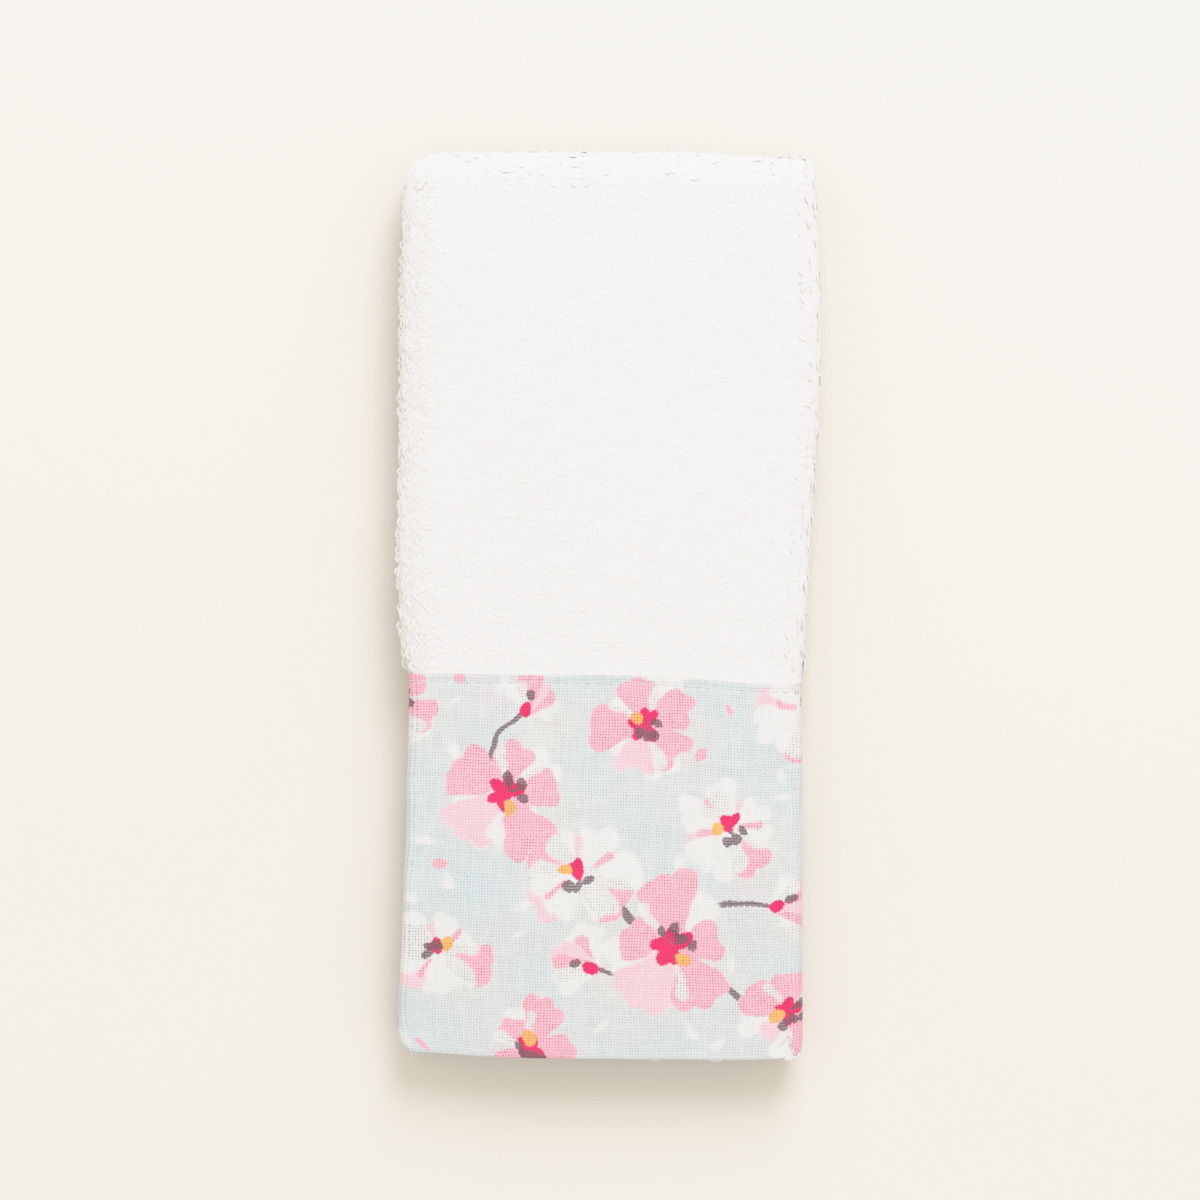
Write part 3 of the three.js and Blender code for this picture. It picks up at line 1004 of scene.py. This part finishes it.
def makeGroundCloth(material):
    fine, wide, fold = groundCloth["fine"], groundCloth["sparse"], groundCloth["fold"]
    edge, edgeStep = groundCloth["selvedge"]
    seam, seamStep = groundCloth["seamZone"]
    hem, hemStep = groundCloth["hemZone"]
    bandTop, bendEnd = cloth["bandHeight"], halfLength + bendLength
    across = stations(
        (0, edge, edgeStep),
        (edge, tuckedEnd, wide),
        (tuckedEnd, faceStart, fold * groundCloth["tightShare"]),
        (faceStart, faceEnd, fine),
        (faceEnd, turnedStart, fold),
        (turnedStart, cloth["width"] - edge, wide),
        (cloth["width"] - edge, cloth["width"], edgeStep),
    )
    along = stations(
        (0, bandTop - seam, wide),
        (bandTop - seam, bandTop + seam, seamStep),
        (bandTop + seam, halfLength, fine),
        (halfLength, bendEnd, fold),
        (bendEnd, hemStart - hem, fine),
        (hemStart - hem, cloth["length"], hemStep),
    )
    u, v = np.meshgrid(across, along, indexing="ij")
    back = groundCloth["backReach"]
    back = back + hemShare(v) * (groundCloth["hemReach"] - back)
    inward = smoothStep(np.minimum(u, cloth["width"] - u), 0, groundCloth["rimWidth"])
    rim = groundCloth["rimShare"] + (1 - groundCloth["rimShare"]) * inward
    picks = (
        thinOut(across, [(tuckedEnd, faceStart), (faceEnd, turnedStart)], wide),
        thinOut(along, [(halfLength, bendEnd)], wide),
    )
    return closedSheet("towel_cloth", across, (v, groundReach(u, v) * rim), (v, -back * rim), material, picks)


# the printed band: one layer over the front, its two long edges turned under
band = {
    "fine": 0.55,
    "sparse": 5.0,
    "leftStep": 0.5,
    "rightStep": 0.7,
    "blend": (6, 1.5),  # beside the side folds: width and step
    "foldMargin": 1,
    "thick": 0.4,
    "outerReach": 1.15,
    "innerReach": 0.62,
    "turnUnder": 8.0,
    "underSteps": 3,
    "edgeSteps": 6,
    "stitchLine": 1.8,
    "trough": 0.18,
    "troughWidth": 0.8,
    "lumps": 0.07,
    "lumpSize": 17,
}
foldRadius = (band["outerReach"] - band["innerReach"]) / 2
lowEdge = foldRadius - cloth["bandOverhang"]
highEdge = cloth["bandHeight"] - foldRadius


def bandProfile():
    # distance, reach and outward turn of the strip's own line, from one turned edge to the other
    middle = (band["outerReach"] + band["innerReach"]) / 2
    steps, tucks, under = band["edgeSteps"], band["underSteps"], band["turnUnder"]
    inward = (band["innerReach"], -0.5 * math.pi)
    lows = [(lowEdge + under * (1 - i / tucks), *inward) for i in range(tucks)]
    highs = [(highEdge - under * (i + 1) / tucks, *inward) for i in range(tucks)]
    turns = []
    for centre, start in ((lowEdge, 1.5 * math.pi), (highEdge, 0.5 * math.pi)):
        edge = []
        for i in range(steps + 1):
            turn = start - math.pi * i / steps
            edge.append((centre + foldRadius * math.cos(turn), middle + foldRadius * math.sin(turn), turn))
        turns.append(edge)
    places = stations((lowEdge, highEdge, band["fine"]))[1:-1]
    flat = [(along, band["outerReach"], 0.5 * math.pi) for along in places]
    return np.array(lows + turns[0] + flat + turns[1] + highs)


def makeBand(material):
    blend, blendStep = band["blend"]
    across = stations(
        (0, tuckedEnd - blend, band["sparse"]),
        (tuckedEnd - blend, tuckedEnd, blendStep),
        (tuckedEnd, faceStart, band["leftStep"]),
        (faceStart, faceEnd, band["fine"]),
        (faceEnd, turnedStart, band["rightStep"]),
        (turnedStart, turnedStart + blend, blendStep),
        (turnedStart + blend, cloth["width"], band["sparse"]),
    )
    profile = bandProfile()
    along, reach, turn = (column[None, :] for column in profile.T)
    u = across[:, None]
    stitched = np.exp(-(((along - cloth["bandHeight"] + band["stitchLine"]) / band["troughWidth"]) ** 2))
    outer = 1.0 * (np.sin(turn) > 0.99)  # 1 on the outer layer and 0 in the turned edges
    lumps = band["lumps"] * ripple(u, along, band["lumpSize"], 31)
    reach = reach + outer * (lumps - band["trough"] * stitched)
    shape = reach.shape
    sides = []
    for side in (band["thick"] / 2, -band["thick"] / 2):
        sides.append((np.broadcast_to(along + side * np.cos(turn), shape), reach + side * np.sin(turn)))
    fromFace = np.broadcast_to(u - faceStart, shape)
    fields = paintPattern(fromFace, np.broadcast_to(along, shape))
    ends = band["underSteps"] + band["edgeSteps"]
    middleRows = [ends + i for i in thinOut(profile[ends:-ends, 0], [], band["sparse"])]
    rowPicks = list(range(ends)) + middleRows + list(range(len(profile) - ends, len(profile)))
    folds = [(tuckedEnd - band["foldMargin"], faceStart), (faceEnd, turnedStart + band["foldMargin"])]
    picks = (thinOut(across, folds, band["sparse"]), rowPicks)
    return closedSheet("printed_band", across, *sides, material, picks, fields)


# pile loops, each a bent yarn with both feet in the matted ground
loopShapes = [
    {"foot": 1.3, "bulge": 0.3, "lean": 1.6, "skew": 0.5, "rise": 0.55},
    {"foot": 1.8, "bulge": -0.2, "lean": 1.0, "skew": -0.7, "rise": 0.65},
    {"foot": 1.0, "bulge": 0.6, "lean": 2.3, "skew": 0.3, "rise": 0.5},
    {"foot": 2.2, "bulge": -0.5, "lean": 0.6, "skew": 0.9, "rise": 0.6},
    {"foot": 1.5, "bulge": 0.0, "lean": 1.9, "skew": -0.4, "rise": 0.45},
    {"foot": 2.4, "bulge": -0.8, "lean": -0.9, "skew": -1.2, "rise": 0.6},
]
pile = {
    "yarn": 0.48,
    "sides": 4,
    "bends": 6,
    "root": 0.4,
    "farLean": 0.9,  # a loop's second half leans a little less and rises a little more
    "farRise": 1.05,
    "closest": 0.5,
    "sunk": 0.12,
    "grid": 1.6,
    "lowest": 0.03,
}


def addRound(tree, sides, radius):
    inputs = {"Resolution": sides, "Radius": radius}
    return addNode(tree, "GeometryNodeCurvePrimitiveCircle", inputs).outputs[0]


def addYarn(tree, bends, profile, places):
    # a capped tube on a curve from its start to its end, with a handle for each
    names = ("Start", "Start Handle", "End Handle", "End")
    inputs = {"Resolution": bends, **dict(zip(names, places))}
    line = addNode(tree, "GeometryNodeCurvePrimitiveBezierSegment", inputs).outputs[0]
    inputs = {"Curve": line, "Profile Curve": profile, "Fill Caps": True}
    return addNode(tree, "GeometryNodeCurveToMesh", inputs).outputs[0]


def addLoop(tree, row, profile):
    # one loop as an instance, which keeps how high each of its points lies
    foot, wide = row["foot"] * millimetre, (row["foot"] + row["bulge"]) * millimetre
    skew, lean = row["skew"] * millimetre, row["lean"] * millimetre
    root, rise = -pile["root"] * millimetre, row["rise"] * millimetre
    near = (-wide + skew, lean, rise)
    far = (wide + skew, lean * pile["farLean"], rise * pile["farRise"])
    tube = addYarn(tree, pile["bends"], profile, [(-foot, 0, root), near, far, (foot, 0, root)])
    depth = addNode(tree, "ShaderNodeSeparateXYZ", {0: addNode(tree, "GeometryNodeInputPosition").outputs[0]})
    depth = addMath(tree, "MULTIPLY", depth.outputs[2], 1 / millimetre)
    inputs = {"Geometry": tube, "Name": "depth", "Value": depth}
    marked = addNode(tree, "GeometryNodeStoreNamedAttribute", inputs).outputs[0]
    return addNode(tree, "GeometryNodeGeometryToInstance", {0: marked}).outputs[0]


def startTree(name, floats, others):
    tree = bpy.data.node_groups.new(name, "GeometryNodeTree")
    tree.interface.new_socket("Geometry", in_out="INPUT", socket_type="NodeSocketGeometry")
    for socket in floats:
        tree.interface.new_socket(socket, in_out="INPUT", socket_type="NodeSocketFloat")
    for socket, kind in others.items():
        tree.interface.new_socket(socket, in_out="INPUT", socket_type=kind)
    tree.interface.new_socket("Geometry", in_out="OUTPUT", socket_type="NodeSocketGeometry")
    return tree, addNode(tree, "NodeGroupInput").outputs, addNode(tree, "NodeGroupOutput")


def endTree(tree, result, instances, material):
    # every tree ends in plain geometry with its material; the yarn is too fine to be shaded smooth
    real = addNode(tree, "GeometryNodeRealizeInstances", {0: instances})
    plain = addNode(tree, "GeometryNodeSetShadeSmooth", {0: real.outputs[0], "Shade Smooth": False})
    finished = addNode(tree, "GeometryNodeSetMaterial", {0: plain.outputs[0], "Material": material})
    tree.links.new(finished.outputs[0], result.inputs[0])


def readAttribute(tree, name, kind="FLOAT"):
    return addNode(tree, "GeometryNodeInputNamedAttribute", {"Name": name}, data_type=kind).outputs[0]


def standOn(tree, up, ahead):
    # the turn that puts a piece's height along up and its length along ahead
    inputs = {"Primary Axis": up, "Secondary Axis": ahead}
    axes = {"primary_axis": "Z", "secondary_axis": "X"}
    return addNode(tree, "FunctionNodeAxesToRotation", inputs, **axes).outputs[0]


def randomBetween(tree, low, high, seed):
    inputs = {2: low, 3: high, "Seed": seed}
    return addNode(tree, "FunctionNodeRandomValue", inputs, data_type="FLOAT").outputs[1]


def pileTree():
    floats = ("Loops per square metre", "Closest", "Yarn radius", "Smallest", "Largest")
    others = {"Seed": "NodeSocketInt", "Yarn": "NodeSocketMaterial"}
    tree, given, result = startTree("pileLoops", floats, others)
    profile = addRound(tree, pile["sides"], given["Yarn radius"])
    loops = addNode(tree, "GeometryNodeJoinGeometry")
    for row in loopShapes:
        tree.links.new(addLoop(tree, row, profile), loops.inputs[0])
    points = addNode(
        tree,
        "GeometryNodeDistributePointsOnFaces",
        {
            "Mesh": given["Geometry"],
            "Distance Min": given["Closest"],
            "Density Max": given["Loops per square metre"],
            "Density Factor": readAttribute(tree, "fullness"),
            "Seed": given["Seed"],
        },
        distribute_method="POISSON",
    )
    upright = standOn(tree, points.outputs["Normal"], readAttribute(tree, "lay", "FLOAT_VECTOR"))
    swing = randomBetween(tree, -1.0, 1.0, 5)
    angle = addMath(tree, "MULTIPLY", swing, readAttribute(tree, "stray"))
    spin = addNode(tree, "FunctionNodeAxisAngleToRotation", {"Axis": (0, 0, 1), "Angle": angle}).outputs[0]
    turns = {0: upright, 1: spin}
    turned = addNode(tree, "FunctionNodeRotateRotation", turns, rotation_space="LOCAL").outputs[0]
    size = randomBetween(tree, given["Smallest"], given["Largest"], 6)
    height = addMath(tree, "MULTIPLY", size, readAttribute(tree, "lift"))
    scale = addNode(tree, "ShaderNodeCombineXYZ", {0: size, 1: size, 2: height}).outputs[0]
    choice = {4: 0, 5: len(loopShapes) - 1, "Seed": 7}
    which = addNode(tree, "FunctionNodeRandomValue", choice, data_type="INT").outputs[2]
    planted = addNode(
        tree,
        "GeometryNodeInstanceOnPoints",
        {
            "Points": points.outputs[0],
            "Instance": loops.outputs[0],
            "Pick Instance": True,
            "Instance Index": which,
            "Rotation": turned,
            "Scale": scale,
        },
    )
    endTree(tree, result, planted.outputs[0], given["Yarn"])
    return tree


def runNodes(name, source, tree, values):
    # the tree's result as a plain mesh; inputs are set by their identifiers
    modifier = source.modifiers.new("nodes", "NODES")
    modifier.node_group = tree
    identifiers = {s.name: s.identifier for s in tree.interface.items_tree if s.in_out == "INPUT"}
    for key, value in values.items():
        modifier[identifiers[key]] = value
    graph = bpy.context.evaluated_depsgraph_get()
    mesh = bpy.data.meshes.new_from_object(source.evaluated_get(graph))
    mesh.name = name
    for attribute in ("lay", "stray", "fullness", "lift", "up", "ahead"):
        if attribute in mesh.attributes:
            mesh.attributes.remove(mesh.attributes[attribute])
    old = source.data
    bpy.data.objects.remove(source)
    bpy.data.meshes.remove(old)
    return addObject(name, mesh)


# where the loops stand: stretches across and along the cloth, loops per square millimetre,
# their height and their sizes
face, pileStart = (faceStart, faceEnd), 104.9
pileZones = [
    {"name": "pile_face_low", "across": face, "along": (pileStart, 138)},
    {"name": "pile_face_mid", "across": face, "along": (138, 172)},
    {"name": "pile_face_high", "across": face, "along": (172, 206)},
    {"name": "pile_half_fold", "across": face, "along": (206, 264), "thick": 0.6},
    {
        "name": "pile_left_side",
        "across": (tuckedEnd - 2, faceStart),
        "along": (pileStart, hemStart),
        "thick": 0.95,
        "lift": 0.5,
        "sizes": (0.55, 0.9),
    },
    {
        "name": "pile_right_side",
        "across": (faceEnd, turnedStart + 2),
        "along": (pileStart, hemStart),
        "thick": 0.55,
        "lift": 0.5,
        "sizes": (0.65, 1.0),
    },
    {"name": "pile_underside", "across": face, "along": (264, hemStart), "thick": 0.15, "lift": 0.5},
]
usualPile = {"thick": 0.8, "lift": 0.3, "sizes": (0.75, 1.15)}
edgeLoops = {"reach": 9, "lift": 0.9, "crowd": 0.5}
# how the pile changes from place to place, in shares of its fullness and height
unevenPile = {
    "clumpSize": 6,
    "clumpShare": 0.22,
    "leastFull": 0.2,
    "combed": 0.93,  # how far the loops on the side folds follow them
    "rightFold": (-3, 2),
    "tuftSize": 5,
    "tuftShare": 0.15,
    "roughAlong": (112, 130),  # the pile is rougher at the left, above the band
    "roughWidth": 45,
    "roughShare": 0.35,
    "seamWidth": 6,
    "seamDrop": 0.3,
    "underBand": (385, 395),  # from here to the hem the lower layer's pile hides beneath the band
    "underThinner": 0.7,
    "underDrop": 0.5,
}
# wisps of pile that show under the band's lower edge: distance across the face, and width
wisps = {
    "name": "pile_end_wisps",
    "places": [(65.5, 0.8), (70.5, 1.3), (83, 0.8), (103.5, 2.2)],
    "across": (60, 108, 0.6),
    "reaches": (-0.9, 0.1, 0.4),
    "along": -0.6,
    "gain": 1.4,
    "bare": 0.4,
    "thick": 3.0,
    "lift": 1.1,
    "sizes": (0.6, 0.95),
}


def plantLoops(row, points, shape, fields, thick, tree, material, seed):
    mesh = bpy.data.meshes.new("carrier")
    mesh.from_pydata(points.reshape(-1, 3).tolist(), [], gridFaces(*shape).tolist())
    for key, values in fields.items():
        storeAttribute(mesh, key, "FLOAT_VECTOR" if key == "lay" else "FLOAT", values)
    smallest, largest = row["sizes"]
    values = {
        "Loops per square metre": thick * 1e6,
        "Closest": pile["closest"] * smallest * millimetre,
        "Yarn radius": pile["yarn"] * millimetre,
        "Smallest": smallest,
        "Largest": largest,
        "Seed": seed,
        "Yarn": material,
    }
    piece = runNodes(row["name"], addObject("carrier", mesh), tree, values)
    pressFlat(piece.data)
    return piece


def makePile(row, tree, material, seed):
    zone = {**usualPile, **row}
    across = stations((*zone["across"], pile["grid"]))
    along = stations((*zone["along"], pile["grid"]))
    u, v = np.meshgrid(across, along, indexing="ij")
    reach = groundReach(u, v) - pile["sunk"]
    points = foldCloth(u, v, reach)

    # loops lie every way on the faces; near the side folds they run along them
    uneven, crowd = unevenPile, edgeLoops["crowd"]
    ahead = foldCloth(u, v + 0.5, reach) - points
    atLeft = 1 - smoothStep(u, faceStart - 1, faceStart + edgeLoops["reach"])
    atRight = smoothStep(u, *(faceEnd + place for place in uneven["rightFold"]))
    clumps = 1 - uneven["clumpShare"] + uneven["clumpShare"] * ripple(u, v, uneven["clumpSize"], seed)
    full = np.clip((clumps + crowd * atLeft) / (1 + crowd), uneven["leastFull"], 1)
    hidden = smoothStep(v, *uneven["underBand"])
    nearSeam = 1 - smoothStep(v, pileStart, pileStart + uneven["seamWidth"])
    roughAcross = 1 - smoothStep(u, faceStart, faceStart + uneven["roughWidth"])
    rough = (1 - smoothStep(v, *uneven["roughAlong"])) * roughAcross
    tufts = uneven["tuftShare"] * ripple(u, v, uneven["tuftSize"], seed + 7)
    lift = zone["lift"] * (1 + edgeLoops["lift"] * atLeft + uneven["roughShare"] * rough + tufts)
    lift = lift * (1 - uneven["underDrop"] * hidden) * (1 - uneven["seamDrop"] * nearSeam)
    fields = {
        "lay": ahead / np.linalg.norm(ahead, axis=-1)[..., None],
        "stray": math.pi * (1 - uneven["combed"] * np.maximum(atLeft, atRight)),
        "fullness": full * (1 - uneven["underThinner"] * hidden),
        "lift": lift,
    }
    return plantLoops(zone, points, u.shape, fields, zone["thick"] * (1 + crowd), tree, material, seed)


def makeWisps(tree, material, seed):
    across = faceStart + stations(wisps["across"])
    u, reach = np.meshgrid(across, stations(wisps["reaches"]), indexing="ij")
    points = foldCloth(u, wisps["along"] + 0 * u, reach)
    fullness = sum(np.exp(-(((u - faceStart - place) / width) ** 2)) for place, width in wisps["places"])
    fields = {
        "lay": np.broadcast_to([1.0, 0, 0], points.shape),
        "stray": math.pi + 0 * u,
        "fullness": np.clip(wisps["gain"] * fullness - wisps["bare"], 0, 1),
        "lift": wisps["lift"] + 0 * u,
    }
    return plantLoops(wisps, points, u.shape, fields, wisps["thick"], tree, material, seed)


def pressFlat(mesh):
    # nothing reaches below the surface that the towel lies on
    places = np.zeros(len(mesh.vertices) * 3, np.float32)
    mesh.vertices.foreach_get("co", places)
    places[2::3] = np.maximum(places[2::3], pile["lowest"] * millimetre)
    mesh.vertices.foreach_set("co", places)
    mesh.update()


# sewing: a row of stitches on the band's upper edge and one on the hem
sewing = {
    "stitch": 3.0,
    "gap": 0.55,
    "thread": 0.13,
    "sink": 0.2,
    "bulge": 0.75,
    "sides": 6,
    "bends": 6,
    "ends": 2,
    "waver": 0.12,
    "waverLength": 23,
    "bite": 0.02,
    "hemLine": 2,
    "colour": shade(229, 232, 231),
    "fuzzSize": 0.2,
    "fuzzDepth": 0.05,
}


def stitchTree():
    floats = ("Stitch length", "Thread radius", "Sink")
    tree, given, result = startTree("stitches", floats, {"Thread": "NodeSocketMaterial"})
    half = addMath(tree, "MULTIPLY", given["Stitch length"], 0.5)
    sunk = addMath(tree, "MULTIPLY", given["Sink"], -1.0)
    bulge = sewing["bulge"]
    places = []
    for share, height in ((-1.0, sunk), (-bulge, given["Sink"]), (bulge, given["Sink"]), (1.0, sunk)):
        ahead = addMath(tree, "MULTIPLY", half, share)
        places.append(addNode(tree, "ShaderNodeCombineXYZ", {0: ahead, 2: height}).outputs[0])
    profile = addRound(tree, sewing["sides"], given["Thread radius"])
    tube = addYarn(tree, sewing["bends"], profile, places)
    up, ahead = (readAttribute(tree, name, "FLOAT_VECTOR") for name in ("up", "ahead"))
    inputs = {"Points": given["Geometry"], "Instance": tube, "Rotation": standOn(tree, up, ahead)}
    sewn = addNode(tree, "GeometryNodeInstanceOnPoints", inputs)
    endTree(tree, result, sewn.outputs[0], given["Thread"])
    return tree


def makeStitches(name, along, reach, tree, material):
    across = stations((sewing["ends"], cloth["width"] - sewing["ends"], sewing["stitch"]))
    along = along + sewing["waver"] * ripple(across, 0 * across, sewing["waverLength"], 51)
    places = foldCloth(across, along, reach)
    mesh = bpy.data.meshes.new("row")
    mesh.from_pydata(places.tolist(), [], [])
    storeAttribute(mesh, "ahead", "FLOAT_VECTOR", foldCloth(across + 0.5, along, reach) - places)
    storeAttribute(mesh, "up", "FLOAT_VECTOR", foldCloth(across, along, reach + 0.5) - places)
    values = {
        "Stitch length": (sewing["stitch"] - sewing["gap"]) * millimetre,
        "Thread radius": sewing["thread"] * millimetre,
        "Sink": sewing["sink"] * millimetre,
        "Thread": material,
    }
    return runNodes(name, addObject("row", mesh), tree, values)


def threadMaterial():
    material, tree, shader = startMaterial("sewingThread", 0.6, 0.2)
    place = addNode(tree, "ShaderNodeTexCoord").outputs["Object"]
    shader.inputs["Base Color"].default_value = sewing["colour"]
    addBump(tree, shader, addNoise(tree, place, sewing["fuzzSize"]), sewing["fuzzDepth"])
    return material


# stage: floor, light and camera
stage = {
    "pixel": 0.2714,
    "imagePixels": 1200,
    "towelCentrePixel": (609.5, 604.0),
    "cameraHeight": 1300,
    "sensorWidth": 36,
    "nearest": 50,
    "farthest": 20000,
    "floorSize": 6000,
    "floorColour": (0.684, 0.665, 0.598, 1),
    "skyColour": (1.0, 0.929, 0.887),
    "skyStrength": 1.12,
    "keyColour": (0.966, 0.926, 1.0),
    "keyWatts": 20.9,
    "keyPlace": (290, 1210, 1100),
    "keySize": (800, 1100),
}


def setView(view):
    view.view_transform = "Standard"
    view.use_curve_mapping = True
    mapping = view.curve_mapping
    mapping.use_clip = False
    mapping.clip_max_x, mapping.clip_max_y = rollOff[-1][0], rollOff[-1][0]
    curve = mapping.curves[3]
    curve.points[1].location = rollOff[-1]
    for point in rollOff[1:-1]:
        curve.points.new(*point)
    mapping.update()


def makeFloor():
    half = stage["floorSize"] / 2 * millimetre
    mesh = bpy.data.meshes.new("floor")
    corners = [(-half, -half, 0), (half, -half, 0), (half, half, 0), (-half, half, 0)]
    mesh.from_pydata(corners, [], [(0, 1, 2, 3)])
    material, _, shader = startMaterial("paleFloor", 0.9, 0.0)
    shader.inputs["Base Color"].default_value = stage["floorColour"]
    addObject("floor", mesh, material)


def makeLights():
    scene = bpy.context.scene
    world = bpy.data.worlds.new("sky")
    world.use_nodes = True
    background = world.node_tree.nodes["Background"]
    background.inputs["Color"].default_value = (*stage["skyColour"], 1)
    background.inputs["Strength"].default_value = stage["skyStrength"]
    scene.world = world
    light = bpy.data.lights.new("key", "AREA")
    light.shape = "RECTANGLE"
    light.size, light.size_y = (side * millimetre for side in stage["keySize"])
    light.energy = stage["keyWatts"]
    light.color = stage["keyColour"]
    key = bpy.data.objects.new("key", light)
    scene.collection.objects.link(key)
    key.location = [part * millimetre for part in stage["keyPlace"]]
    key.rotation_euler = (-key.location).to_track_quat("-Z", "Y").to_euler()
    key.visible_camera = False


def makeCamera():
    # straight above, with the towel as large and as placed as in the photograph
    camera = bpy.data.cameras.new("camera")
    eye = bpy.data.objects.new("camera", camera)
    bpy.context.scene.collection.objects.link(eye)
    centre = stage["imagePixels"] / 2
    x, y = (stage["pixel"] * (centre - place) * millimetre for place in stage["towelCentrePixel"])
    eye.location = (x, -y, stage["cameraHeight"] * millimetre)
    width = stage["pixel"] * stage["imagePixels"] * millimetre
    camera.sensor_width = stage["sensorWidth"]
    camera.lens = camera.sensor_width * (eye.location.z - cadHigh[2]) / width
    camera.clip_start = stage["nearest"] * millimetre
    camera.clip_end = stage["farthest"] * millimetre
    bpy.context.scene.camera = eye


setView(bpy.context.scene.view_settings)
makeFloor()
makeLights()
makeCamera()
print("stage ready")

yarnMaterial = terryMaterial("terryYarn", aboveRoots, 0.6)
towel = makeGroundCloth(terryMaterial("terryGround", besidePile, 1.0))
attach(towel, "root")
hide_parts("terry_towel")
print("ground cloth made")

printedBand = makeBand(printMaterial())
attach(printedBand, "root")
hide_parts("print_band")
print("band made and printed")

loopsTree = pileTree()
onTowel = [makePile(zone, loopsTree, yarnMaterial, 40 + i) for i, zone in enumerate(pileZones)]
onTowel.append(makeWisps(loopsTree, yarnMaterial, 60))
print("pile made")

rows, thread = stitchTree(), threadMaterial()
seamLine = cloth["bandHeight"] - band["stitchLine"]
seamReach = band["outerReach"] + band["thick"] / 2 - band["trough"] - sewing["bite"]
seamStitches = makeStitches("seam_stitches", seamLine, seamReach, rows, thread)
hemLine = hemStart + sewing["hemLine"]
onTowel.append(makeStitches("hem_stitches", hemLine, groundCloth["hemReach"], rows, thread))
for piece in onTowel + [seamStitches]:
    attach(piece, "root")
print("stitches made")
